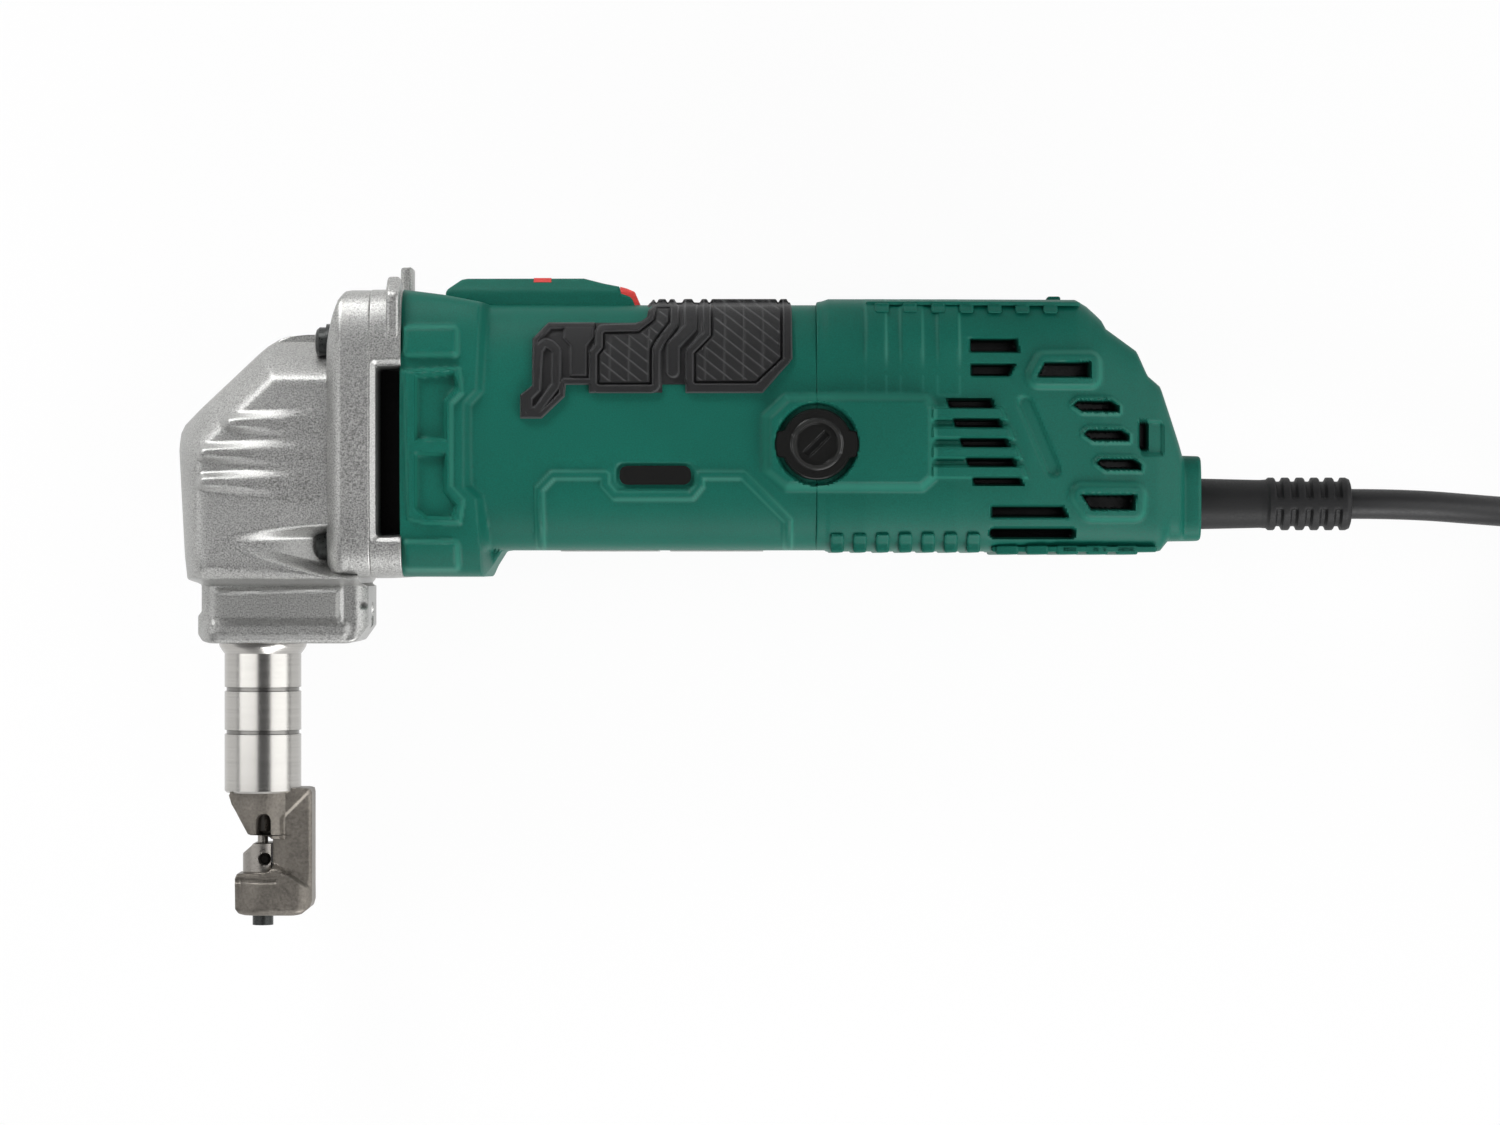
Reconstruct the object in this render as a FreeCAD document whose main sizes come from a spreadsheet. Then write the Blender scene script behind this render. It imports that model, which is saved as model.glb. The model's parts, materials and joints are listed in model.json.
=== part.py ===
import FreeCAD, Part
import math
import os
import re
import Sketcher

# Hand-held electric nibbler, lying on its right side.
# Frame: +X along the motor axis towards the cord, +Y towards the tool's top, so the punch points
# to -Y, and +Z up towards the tool's left side. The geometry is worked out about the motor axis,
# with X = 0 on the punch axis, and each finished piece is then shifted to the part's own origin,
# which is the middle of the tool's footprint on the floor.

doc = FreeCAD.newDocument("Nibbler")
sheet = doc.addObject("Spreadsheet::Sheet", "Sizes")

SIZES = [
    # name, millimetres or what it follows from, meaning
    ("run_gap", 0.05, "radial clearance of a running fit"),
    ("lay_gap", 0.3, "space between pieces that only lie near each other"),
    # gear head casing
    ("nose_reach", 18.6, "casing nose in front of the punch axis"),
    ("head_top", 27.4, "casing top above the motor axis"),
    ("head_base", 33.0, "casing underside below the motor axis"),
    ("head_half", 29.0, "half width of the casing"),
    ("nose_half", 16.0, "half width of the casing at its nose"),
    ("flange_start", 19.3, "front face of the casing flange"),
    ("flange_end", 29.25, "joint between casing and cover ring"),
    ("flange_top", 38.0, "flange top above the motor axis"),
    ("flange_base", 32.5, "flange underside below the motor axis"),
    ("flange_half", 33.0, "half width of the flange"),
    ("flange_cut", 11.0, "corner cut of the flange"),
    ("neck_half", 14.5, "half width of the clamp block"),
    ("neck_front", 15.0, "clamp block in front of the punch axis"),
    ("neck_back", 27.4, "clamp block behind the punch axis"),
    ("neck_base", 48.75, "clamp block underside"),
    ("ring_end", 36.6, "joint between cover ring and motor barrel"),
    ("lug_top", 46.0, "top of the taller hanging lug"),
    ("lug_low", 41.0, "top of the shorter hanging lug"),
    # drive
    ("crank_throw", 2.75, "eccentricity of the crank, half the stroke"),
    ("throw_slack", 0.62, "room in the yoke slot each way"),
    ("lay_y", 14.0, "layshaft above the motor axis"),
    ("shaft_rad", 4.0, "radius of crankshaft and armature shaft"),
    ("lay_rad", 2.5, "layshaft radius"),
    ("pin_rad", 3.0, "eccentric pin radius"),
    ("roller_rad", 6.5, "outer radius of the eccentric's bearing"),
    ("roller_wide", 7.0, "width of the eccentric's bearing"),
    ("brg_rad", 9.5, "outer radius of the ball bearings"),
    ("brg_wide", 6.0, "width of the ball bearings"),
    ("web_start", 5.4, "front face of the crank web"),
    ("crank_brg", 8.5, "front face of the crank bearing"),
    ("crank_gear_x", 15.0, "front face of the crank gear"),
    ("gear_wide", 5.0, "face width of the gears"),
    ("plate_x", 20.6, "front face of the gear plate"),
    ("plate_wide", 3.0, "gear plate thickness"),
    ("wheel_x", 24.0, "front face of the layshaft wheel"),
    ("wheel_wide", 4.8, "layshaft wheel width"),
    ("front_brg", 30.0, "front face of the armature's front bearing"),
    ("bush_rad", 4.0, "outer radius of the layshaft bushes"),
    ("bush_long", 4.0, "length of the rear layshaft bush"),
    ("yoke_half", 4.6, "half thickness of the yoke along the motor axis"),
    ("yoke_wall", 4.0, "yoke wall over and under its slot"),
    ("ram_rad", 5.5, "ram radius"),
    # neck, die and punch
    ("tube_rad", 9.55, "steel neck tube outer radius"),
    ("tube_bore", 7.6, "steel neck tube inner radius"),
    ("tube_head", 30.0, "upper end of the neck tube"),
    ("tube_foot", 86.1, "lower end of the neck tube"),
    ("collar_base", 51.4, "lower edge of the collar"),
    ("guide_head", 33.0, "upper end of the ram guide"),
    ("guide_long", 16.0, "length of the ram guide"),
    ("punch_rad", 2.75, "punch shank radius"),
    ("punch_neck", 1.3, "punch neck radius"),
    ("column_in", 2.9, "die holder column, inner face"),
    ("column_out", 12.7, "die holder column, outer face"),
    ("column_half", 5.5, "half width of the column"),
    ("die_rad", 5.0, "die radius"),
    ("hood_long", 10.4, "length of the hood under the neck tube"),
    ("throat", 2.1, "open throat between hood and die, where the sheet goes"),
    ("die_long", 9.6, "length of the die"),
    ("cup_thick", 8.4, "cup under the die"),
    ("screw_long", 2.65, "die screw standing out under the cup"),
    ("ram_short", 6.1, "ram ending above the foot of the neck tube"),
    ("shank_room", 0.8, "punch shank ending above the hood's lower edge"),
    ("punch_dip", 4.0, "punch reaching into the die at half stroke"),
    # places that follow from the lengths
    ("ram_foot", "tube_foot - ram_short", "lower end of the ram"),
    ("hood_base", "tube_foot + hood_long", "lower edge of the hood"),
    ("die_top", "hood_base + throat", "cutting face of the die"),
    ("cup_top", "die_top + die_long", "seat of the die in its cup"),
    ("cup_base", "cup_top + cup_thick", "underside of the cup"),
    ("screw_foot", "cup_base + screw_long", "lower end of the die screw"),
    ("punch_step", "hood_base - shank_room", "lower end of the punch shank"),
    ("punch_foot", "die_top + punch_dip", "cutting edge of the punch"),
    # motor barrel
    ("barrel_half", 29.0, "half width of the barrel"),
    ("barrel_top", 34.75, "barrel top above the motor axis"),
    ("barrel_base", 25.7, "barrel underside below the motor axis"),
    ("barrel_cut", 10.0, "corner cut of the barrel section"),
    ("barrel_end", 138.0, "joint between barrel and rear shells"),
    ("flare_end", 56.0, "end of the front flare"),
    ("flare_half", 31.5, "half width of the front flare"),
    ("flare_top", 38.7, "flare top above the motor axis"),
    ("flare_base", 32.25, "flare underside below the motor axis"),
    ("fan_room", 26.0, "radius of the fan chamber"),
    ("console_start", 46.7, "front end of the console"),
    ("console_end", 95.5, "rear end of the console"),
    ("console_top", 41.4, "console top above the motor axis"),
    ("console_half", 15.0, "half width of the console"),
    ("slide_half", 8.0, "half width of the slide button's channel"),
    ("slide_travel", 6.0, "travel of the slide switch"),
    ("grip_thick", 1.2, "rubber grip standing proud of the barrel"),
    ("grip_start", 64.0, "front end of the grip"),
    ("grip_end", 132.3, "rear end of the grip"),
    # motor
    ("fan_x", 43.0, "front face of the fan"),
    ("fan_wide", 9.0, "fan width"),
    ("fan_rad", 24.0, "fan radius"),
    ("baffle_x", 55.0, "front face of the air baffle"),
    ("core_x", 70.0, "front face of the laminations"),
    ("core_long", 48.0, "length of the laminations"),
    ("field_rad", 23.0, "field core outer radius"),
    ("field_bore", 14.3, "field core bore radius"),
    ("rotor_rad", 13.9, "armature core radius"),
    ("turn_long", 4.0, "end turns beyond the laminations"),
    ("brush_x", 138.0, "brushes along the motor axis"),
    ("comm_rad", 10.0, "commutator radius"),
    ("comm_long", 14.0, "commutator length"),
    ("rear_brg", 149.0, "front face of the rear bearing"),
    ("brush_half", 3.2, "half thickness of a carbon brush"),
    ("brush_tall", 4.0, "half height of a carbon brush"),
    ("brush_long", 10.0, "length of a new brush"),
    ("holder_wall", 0.8, "wall of a brush holder"),
    ("cap_rad", 8.8, "brush cap radius"),
    ("cap_ear", 10.4, "reach of the brush cap's ears"),
    ("cap_thick", 2.4, "brush cap thickness"),
    ("boss_start", 125.1, "front end of the brush boss"),
    ("boss_end", 167.3, "rear end of the brush boss"),
    ("boss_top", 12.2, "brush boss top"),
    ("boss_base", 11.0, "brush boss underside"),
    # rear shells
    ("wall", 2.6, "wall of the plastic shells"),
    ("rear_top", 36.2, "rear shell top above the motor axis"),
    ("rear_base", 26.5, "rear shell underside"),
    ("rear_half", 28.6, "half width of the rear shells where they start"),
    ("gland_start", 228.8, "front face of the cord entry block"),
    ("gland_end", 233.4, "rear face of the cord entry block"),
    ("gland_half", 12.5, "half width of the cord entry block"),
    ("gland_top", 2.25, "entry block top below the motor axis"),
    ("gland_base", 23.4, "entry block underside"),
    ("cord_y", 14.1, "cord axis below the motor axis"),
    ("screw_rad", 2.0, "housing screw radius"),
    ("head_rad", 3.9, "housing screw head radius"),
    ("screw_high", 25.2, "upper flange screws above the motor axis"),
    ("screw_deep", 24.5, "lower flange screws below the motor axis"),
    ("screw_side", 22.0, "flange screws beside the middle plane"),
    # cord
    ("cord_rad", 3.75, "cord radius"),
    ("boot_rad", 6.35, "cord boot radius at the entry"),
    ("boot_tip", 6.0, "cord boot radius near its tip"),
    ("boot_end", 271.6, "tip of the cord boot"),
    ("coil_x", 379.0, "middle of the put-away coil"),
    ("coil_y", 70.0, "middle of the put-away coil below the motor axis"),
    ("coil_mean", 41.5, "mean radius of the coil's turns"),
    ("coil_half", 15.2, "half width of the bundle of turns"),
    ("coil_tall", 24.5, "height of the bundle of turns"),
    ("tie_thick", 1.0, "strap thickness of the cord tie"),
    ("tie_room", 1.3, "room between the tie and the inner side of the bundle"),
    ("link_low", 23.8, "underside of the switch link above the motor axis"),
    ("link_tall", 2.4, "height of the switch link"),
    ("vent_tall", 2.5, "height of a vent"),
    ("pin_len", 19.0, "plug pin length"),
    ("pin_thick", 2.4, "plug pin radius"),
    ("pin_root", 0.5, "thinner root of a plug pin at the plug's face"),
    ("pin_pitch", 19.0, "distance between the plug pins"),
]

NAMES = set()
for row, (alias, number, meaning) in enumerate(SIZES, start=1):
    sheet.set("A%d" % row, meaning)
    sheet.set("B%d" % row, "=" + number if isinstance(number, str) else str(number))
    sheet.setAlias("B%d" % row, alias)
    NAMES.add(alias)
doc.recompute()

WORD = re.compile(r"[a-z][a-z_]*")
TURN = {
    "X": FreeCAD.Rotation(FreeCAD.Vector(0, 1, 0), 90),
    "Y": FreeCAD.Rotation(FreeCAD.Vector(1, 0, 0), -90),
    "Z": FreeCAD.Rotation(),
}
PLANE = {
    # sketch axes and extrusion direction of each working plane
    "XY": (FreeCAD.Rotation(), (0, 0, 1), "z"),
    "YZ": (FreeCAD.Rotation(FreeCAD.Vector(1, 1, 1), 120), (1, 0, 0), "x"),
    "XZ": (FreeCAD.Rotation(FreeCAD.Vector(1, 0, 0), 90), (0, 1, 0), "y"),
}


def formula(text):
    """Write a size formula with the sheet's name in front of each alias."""
    return WORD.sub(lambda m: "Sizes." + m.group(0) if m.group(0) in NAMES else m.group(0), str(text))


def value(text):
    """The number that a size formula has now."""
    return float(sheet.evalExpression(formula(text)))


def bind(obj, prop, text):
    obj.setExpression(prop, formula("0 + " + str(text)))


def place(obj, x, y, z):
    bind(obj, "Placement.Base.x", x)
    bind(obj, "Placement.Base.y", y)
    bind(obj, "Placement.Base.z", z)
    return obj


def box(x0, x1, y0, y1, z0, z1):
    """A block between two faces in each direction."""
    obj = doc.addObject("Part::Box", "Block")
    bind(obj, "Length", "(%s) - (%s)" % (x1, x0))
    bind(obj, "Width", "(%s) - (%s)" % (y1, y0))
    bind(obj, "Height", "(%s) - (%s)" % (z1, z0))
    return place(obj, x0, y0, z0)


def rod(axis, radius, start, end, first="0", second="0"):
    """A cylinder along an axis, its centre given in the other two directions."""
    obj = doc.addObject("Part::Cylinder", "Rod")
    bind(obj, "Radius", radius)
    bind(obj, "Height", "(%s) - (%s)" % (end, start))
    obj.Placement = FreeCAD.Placement(FreeCAD.Vector(), TURN[axis])
    spots = {"X": (start, first, second), "Y": (first, start, second), "Z": (first, second, start)}
    return place(obj, *spots[axis])


def taper(axis, radius_one, radius_two, start, end, first="0", second="0"):
    """A cone frustum along an axis."""
    obj = doc.addObject("Part::Cone", "Taper")
    bind(obj, "Radius1", radius_one)
    bind(obj, "Radius2", radius_two)
    bind(obj, "Height", "(%s) - (%s)" % (end, start))
    obj.Placement = FreeCAD.Placement(FreeCAD.Vector(), TURN[axis])
    spots = {"X": (start, first, second), "Y": (first, start, second), "Z": (first, second, start)}
    return place(obj, *spots[axis])


def outline(points, plane, offset="0"):
    """A closed sketch whose corners are held by dimensions bound to the sheet."""
    sketch = doc.addObject("Sketcher::SketchObject", "Outline")
    spots = [FreeCAD.Vector(value(u), value(v), 0) for u, v in points]
    count = len(spots)
    for k in range(count):
        sketch.addGeometry(Part.LineSegment(spots[k], spots[(k + 1) % count]))
    for k in range(count):
        sketch.addConstraint(Sketcher.Constraint("Coincident", k, 2, (k + 1) % count, 1))
    for k, (u, v) in enumerate(points):
        for kind, text, number in (("DistanceX", u, spots[k].x), ("DistanceY", v, spots[k].y)):
            index = sketch.addConstraint(Sketcher.Constraint(kind, -1, 1, k, 1, number))
            sketch.renameConstraint(index, "%s%d" % (kind, k))
            bind(sketch, "Constraints.%s%d" % (kind, k), text)
    turn, direction, letter = PLANE[plane]
    sketch.Placement = FreeCAD.Placement(FreeCAD.Vector(), turn)
    bind(sketch, "Placement.Base." + letter, offset)
    return sketch


def prism(plane, points, start, end):
    """A flat outline given a thickness across its plane."""
    obj = doc.addObject("Part::Extrusion", "Prism")
    obj.Base = outline(points, plane, start)
    obj.DirMode = "Custom"
    obj.Dir = FreeCAD.Vector(*PLANE[plane][1])
    obj.Solid = True
    bind(obj, "LengthFwd", "(%s) - (%s)" % (end, start))
    return obj


def turned(points, x, y, z, axis=(0, 1, 0), plane="XY"):
    """A lathe profile turned round its own sketch axis, then set down at a place."""
    obj = doc.addObject("Part::Revolution", "Turned")
    obj.Source = outline(points, plane)
    obj.Axis = FreeCAD.Vector(*axis)
    obj.Angle = 360
    obj.Solid = True
    return place(obj, x, y, z)


def fuse(*pieces):
    if len(pieces) == 1:
        return pieces[0]
    obj = doc.addObject("Part::MultiFuse", "Union")
    obj.Shapes = list(pieces)
    return obj


def cut(base, *tools):
    obj = doc.addObject("Part::Cut", "Less")
    obj.Base = base
    obj.Tool = fuse(*tools)
    return obj


def common(*pieces):
    obj = doc.addObject("Part::MultiCommon", "Shared")
    obj.Shapes = list(pieces)
    return obj


def ring(axis, outer, inner, start, end, first="0", second="0"):
    """A tube along an axis."""
    return cut(rod(axis, outer, start, end, first, second),
               rod(axis, inner, "(%s) - 1" % start, "(%s) + 1" % end, first, second))


MIDDLE_X = "(gland_end - nose_reach) / 2"
MIDDLE_Y = "(lug_top - screw_foot) / 2"
NODES = []


def node(label, *pieces):
    """A finished sub-part: its solids gathered under one label and moved to the part's origin."""
    obj = doc.addObject("Part::Compound", "Node")
    obj.Links = list(pieces)
    obj.Label = label
    NODES.append(place(obj, "-" + MIDDLE_X, "-" + MIDDLE_Y, "flange_half"))
    return obj


def octagon(top, base, half, corner):
    """Section across the motor axis with its corners cut off, as (Y, Z) pairs."""
    low, high = "-(%s)" % base, top
    side, inner = half, "%s - %s" % (half, corner)
    return [("%s + %s" % (low, corner), side), ("%s - %s" % (high, corner), side),
            (high, inner), (high, "-(%s)" % inner),
            ("%s - %s" % (high, corner), "-" + side), ("%s + %s" % (low, corner), "-" + side),
            (low, "-(%s)" % inner), (low, inner)]


def both_sides(half_points):
    """Mirror a run of (X, half width) pairs into a closed plan outline, as (X, Z) pairs."""
    return list(half_points) + [(x, "-(%s)" % z) for x, z in reversed(half_points)]


def screw_spots():
    """Places (Y, Z) of the four screws that hold casing, ring and barrel together."""
    return [(y, z) for y in ("screw_high", "-screw_deep") for z in ("screw_side", "-screw_side")]


# ---------------------------------------------------------------- gears

MODULE = 0.8


def gear(teeth, start, width, bore, centre_y, turn_deg):
    """Spur gear with involute flanks, a little thin at the pitch circle so that it runs freely."""
    pitch = MODULE * teeth / 2
    base = pitch * math.cos(math.radians(20))
    tip = pitch + 0.8 * MODULE
    root = pitch - 1.15 * MODULE
    half = 0.86 * math.pi / teeth / 2

    def involute(angle):
        return math.tan(angle) - angle

    def flank(radius):
        reach = math.acos(min(1.0, base / radius))
        return half + involute(math.radians(20)) - involute(reach)

    low = max(base, root)
    steps = [low + (tip - low) * k / 3 for k in range(4)]
    corners = []
    for tooth in range(teeth):
        middle = math.radians(turn_deg) + 2 * math.pi * tooth / teeth
        rising = [(radius, -flank(radius)) for radius in steps]
        falling = [(radius, flank(radius)) for radius in reversed(steps)]
        feet = flank(low)
        if low > root:
            rising = [(root, -feet)] + rising
            falling = falling + [(root, feet)]
        for radius, angle in rising + falling:
            corners.append(FreeCAD.Vector(0, radius * math.cos(middle + angle),
                                          radius * math.sin(middle + angle)))
    corners.append(corners[0])
    blank = Part.Face(Part.makePolygon(corners)).extrude(FreeCAD.Vector(value(width), 0, 0))
    if bore is not None:
        hole = Part.makeCylinder(value(bore), value(width) + 2, FreeCAD.Vector(-1, 0, 0),
                                 FreeCAD.Vector(1, 0, 0))
        blank = blank.cut(hole)
    obj = doc.addObject("Part::Feature", "Gear")
    obj.Shape = blank
    return place(obj, start, centre_y, "0")


def gears():
    crank_teeth, lay_teeth, wheel_teeth, pinion_teeth = 25, 10, 28, 7
    node("crank_gear", gear(crank_teeth, "crank_gear_x", "gear_wide", "shaft_rad", "0", 0))
    small = gear(lay_teeth, "crank_gear_x", "gear_wide", None, "lay_y", 180 / lay_teeth)
    shaft = rod("X", "lay_rad", "crank_brg", "front_brg + bush_long", "lay_y")
    node("layshaft", fuse(small, shaft))
    node("layshaft_wheel",
         gear(wheel_teeth, "wheel_x", "wheel_wide", "lay_rad", "lay_y", 180 / wheel_teeth))
    pinion = gear(pinion_teeth, "wheel_x", "front_brg - wheel_x", None, "0", 0)
    shaft = rod("X", "shaft_rad", "front_brg", "rear_brg + brg_wide")
    node("armature_shaft", fuse(pinion, shaft))


# ---------------------------------------------------------------- gear head

def gear_head():
    side = prism("XY", [
        ("-nose_reach", "-1.5"), ("-nose_reach + 2.1", "-head_base"), ("flange_end", "-head_base"),
        ("flange_end", "head_top"), ("flange_start - 3.5", "head_top"), ("7.2", "head_top - 0.6"),
        ("3.5", "head_top - 2.4"), ("-nose_reach + 0.5", "4.75"),
    ], "-head_half", "head_half")
    plan = prism("XZ", both_sides([
        ("-nose_reach", "nose_half"), ("-nose_reach + 5", "nose_half + 6"), ("-4", "head_half - 3"),
        ("6", "head_half"), ("flange_end", "head_half"),
    ]), "-head_base", "head_top")
    section = prism("YZ", octagon("head_top", "head_base", "head_half", "9"),
                    "-nose_reach", "flange_end")
    flange = common(
        prism("YZ", octagon("flange_top", "flange_base", "flange_half", "flange_cut"),
              "flange_start", "flange_end"),
        prism("XY", [("flange_start", "-flange_base"), ("flange_end", "-flange_base"),
                     ("flange_end", "flange_top"), ("flange_start + 3.6", "flange_top - 0.4"),
                     ("flange_start + 0.7", "flange_top - 6.8"), ("flange_start", "head_top")],
              "-flange_half", "flange_half"))
    neck = common(
        prism("XY", [
            ("-neck_front + 1", "-head_base + 2"), ("-neck_front + 1", "-head_base - 7.5"),
            ("-neck_front", "-head_base - 8.5"), ("-neck_front", "-neck_base + 2.5"),
            ("-neck_front + 2.5", "-neck_base"), ("neck_back - 3", "-neck_base"),
            ("neck_back", "-neck_base + 4.5"), ("neck_back", "-head_base + 2")],
            "-neck_half", "neck_half"),
        prism("XZ", both_sides([
            ("-neck_front", "neck_half - 5"), ("-neck_front + 4", "neck_half"),
            ("neck_back - 2", "neck_half"), ("neck_back", "neck_half - 2")]),
            "-neck_base", "-head_base + 2"))
    ribs = []
    for front, y in (("-7", "6.6"), ("-13", "-0.8"), ("-13", "-8")):
        for z in ("head_half - 0.5", "-head_half + 0.5"):
            ribs.append(rod("X", "2", front, "flange_start - 1", y, z))
    ribs = common(fuse(*ribs), prism("XZ", both_sides([
        ("-nose_reach", "nose_half + 1"), ("-nose_reach + 5", "nose_half + 7"),
        ("-4", "head_half - 1.8"), ("6", "head_half + 1.2"), ("flange_start", "head_half + 1.2")]),
        "-12", "12"))
    body = fuse(common(side, plan, section), flange, neck, ribs)

    slot_half = "roller_rad + throw_slack"
    yoke_y = slot_half + " + yoke_wall"
    chamber = prism("XY", [
        ("-nose_reach + 6", "-(%s) - crank_throw - 2" % yoke_y),
        ("crank_brg - 0.3", "-(%s) - crank_throw - 2" % yoke_y),
        ("crank_brg - 0.3", yoke_y + " + crank_throw + lay_gap"),
        ("-yoke_half - 0.4", yoke_y + " + crank_throw + lay_gap"),
        ("-nose_reach + 6", "5"),
    ], "-(roller_rad + crank_throw + 4.2)", "roller_rad + crank_throw + 4.2")
    rooms = [
        chamber,
        rod("X", "brg_rad", "crank_brg - 1", "crank_brg + brg_wide"),
        rod("X", "12.2", "crank_brg + brg_wide", "flange_end + 1"),
        rod("X", "bush_rad", "crank_brg", "crank_brg + brg_wide", "lay_y"),
        rod("X", "5.8", "crank_brg + brg_wide", "flange_end + 1", "lay_y"),
        rod("X", "13", "wheel_x - 0.4", "flange_end + 1", "lay_y"),
        rod("Y", "ram_rad + 1", "-tube_head - 1", "-10"),
        rod("Y", "tube_rad + run_gap", "-neck_base - 1", "-tube_head"),
        rod("X", "3", "tube_rad - 1", "neck_back + 1", "-(neck_base + head_base) / 2 - 1"),
    ]
    for y, z in screw_spots():
        rooms.append(rod("X", "screw_rad + 0.1", "-nose_reach", "flange_end + 1", y, z))
        rooms.append(rod("X", "head_rad + 0.9", "-nose_reach", "flange_start", y, z))
    node("gear_head_casing", cut(body, *rooms))

    # front bearing of the crank, plate that carries its rear end, bushes
    node("crank_bearing", ring("X", "brg_rad", "shaft_rad + run_gap", "crank_brg",
                               "crank_brg + brg_wide"))
    plate = fuse(rod("X", "12.2", "plate_x", "plate_x + plate_wide"),
                 rod("X", "5.8", "plate_x", "plate_x + plate_wide", "lay_y"))
    node("gear_plate", cut(plate, rod("X", "shaft_rad + 1.6", "plate_x - 1", "plate_x + 9"),
                           rod("X", "lay_rad + 0.4", "plate_x - 1", "plate_x + 9", "lay_y")))
    node("crank_bush", ring("X", "shaft_rad + 1.6", "shaft_rad + run_gap", "plate_x",
                            "plate_x + plate_wide"))
    node("layshaft_bushes", *[
        ring("X", "bush_rad", "lay_rad + run_gap", start, end, "lay_y")
        for start, end in (("crank_brg", "crank_brg + brg_wide"),
                           ("front_brg", "front_brg + bush_long"))])
    web = fuse(rod("X", "7.6", "web_start", "crank_brg - 0.4"),
               rod("X", "shaft_rad", "web_start", "plate_x + plate_wide"),
               rod("X", "pin_rad", "-roller_wide / 2 - 0.5", "web_start", "0", "crank_throw"))
    node("crankshaft", web)
    node("eccentric_bearing", ring("X", "roller_rad", "pin_rad", "-roller_wide / 2",
                                   "roller_wide / 2", "0", "crank_throw"))

    # ram: yoke with a cross slot, and the round ram below it
    yoke_z = "roller_rad + crank_throw + 3.4"
    slot_z = "roller_rad + crank_throw + 0.35"
    yoke = box("-yoke_half", "yoke_half", "-(%s)" % yoke_y, yoke_y, "-(%s)" % yoke_z, yoke_z)
    slot = box("-yoke_half - 1", "yoke_half + 1", "-(%s)" % slot_half, slot_half,
               "-(%s)" % slot_z, slot_z)
    shaft = rod("Y", "ram_rad", "-ram_foot", "-(%s) + 0.4" % yoke_y)
    socket = rod("Y", "punch_rad", "-ram_foot - 1", "-ram_foot + 14")
    pin_hole = rod("Z", "1.2", "-ram_rad - 1", "ram_rad + 1", "0", "-ram_foot + 7")
    node("ram", cut(fuse(yoke, shaft), slot, socket, pin_hole))
    punch = fuse(rod("Y", "punch_rad", "-punch_step", "-ram_foot + 14"),
                 rod("Y", "punch_neck", "-punch_foot", "-punch_step"),
                 rod("Y", "punch_rad - 0.6", "-punch_foot", "-punch_foot + 2"))
    node("punch", cut(punch, rod("Z", "1.2", "-5", "5", "0", "-ram_foot + 7")))
    node("punch_pin", rod("Z", "1.2", "-ram_rad + 0.2", "ram_rad - 0.2", "0", "-ram_foot + 7"))

    # neck
    node("neck_collar", cut(taper("Y", "tube_rad + 0.4", "tube_rad + 1.5", "-collar_base",
                                  "-neck_base"),
                            rod("Y", "tube_rad + run_gap", "-collar_base - 1", "-neck_base + 1")))
    tube = ring("Y", "tube_rad", "tube_bore", "-tube_foot", "-tube_head")
    grooves = [ring("Y", "tube_rad + 1", "tube_rad - 0.5", "-%s - 1" % y, "-%s" % y)
               for y in ("60.2", "70.9")]
    node("neck_tube", cut(tube, *grooves))
    node("ram_guide", ring("Y", "tube_bore", "ram_rad + run_gap", "-guide_head - guide_long",
                           "-guide_head"))
    node("neck_lock_screw", cut(
        rod("X", "3", "tube_rad + run_gap", "neck_back - 3", "-(neck_base + head_base) / 2 - 1"),
        rod("X", "1.5", "neck_back - 6", "neck_back", "-(neck_base + head_base) / 2 - 1")))


# ---------------------------------------------------------------- die holder

def die_group():
    shank = rod("Y", "tube_bore", "-tube_foot", "-tube_foot + 9")
    hood = common(
        prism("XY", [
            ("-tube_rad + 1.7", "-tube_foot"), ("-tube_rad + 2.4", "-tube_foot - 2.8"),
            ("-2.9", "-hood_base"), ("column_in", "-hood_base"), ("column_in", "-cup_top"),
            ("-die_rad - 1.5", "-cup_top"), ("-die_rad - 1.5", "-cup_base + 1"),
            ("-die_rad - 0.5", "-cup_base"), ("column_in + 4", "-cup_base"),
            ("column_out", "-cup_base + 5"), ("column_out", "-tube_foot")],
            "-8.5", "8.5"),
        prism("XZ", both_sides([
            ("-tube_rad", "5.5"), ("-6", "8.5"), ("3", "8.5"), ("column_in + 3", "column_half"),
            ("column_out", "column_half")]), "-cup_base", "-tube_foot"))
    body = cut(fuse(shank, hood),
               rod("Y", "ram_rad + 0.3", "-tube_foot - 1.2", "-tube_foot + 10"),
               rod("Y", "punch_rad + 0.25", "-hood_base - 1", "-tube_foot + 1"),
               rod("Y", "screw_rad", "-cup_base - 1", "-cup_top + 1"))
    node("die_holder", body)
    die = cut(common(rod("Y", "die_rad", "-cup_top", "-die_top"),
                     prism("XY", [("-die_rad", "-cup_top"), ("2.5", "-cup_top"),
                                  ("2.5", "-die_top"), ("-die_rad + 1.6", "-die_top"),
                                  ("-die_rad", "-die_top - 1.6")], "-die_rad", "die_rad")),
              rod("Y", "punch_rad - 0.5", "-die_top - 7", "-die_top + 1"),
              rod("X", "1.5", "-die_rad - 1", "0", "-die_top - 4.6"),
              rod("Y", "screw_rad", "-cup_top - 1", "-cup_top + 2"))
    node("die", die)
    node("die_screw", cut(
        fuse(rod("Y", "screw_rad", "-cup_base", "-cup_top + 2"),
             rod("Y", "2.6", "-screw_foot", "-cup_base")),
        rod("Y", "1.3", "-screw_foot - 1", "-screw_foot + 1.5")))


# ---------------------------------------------------------------- cover ring and screws

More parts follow.
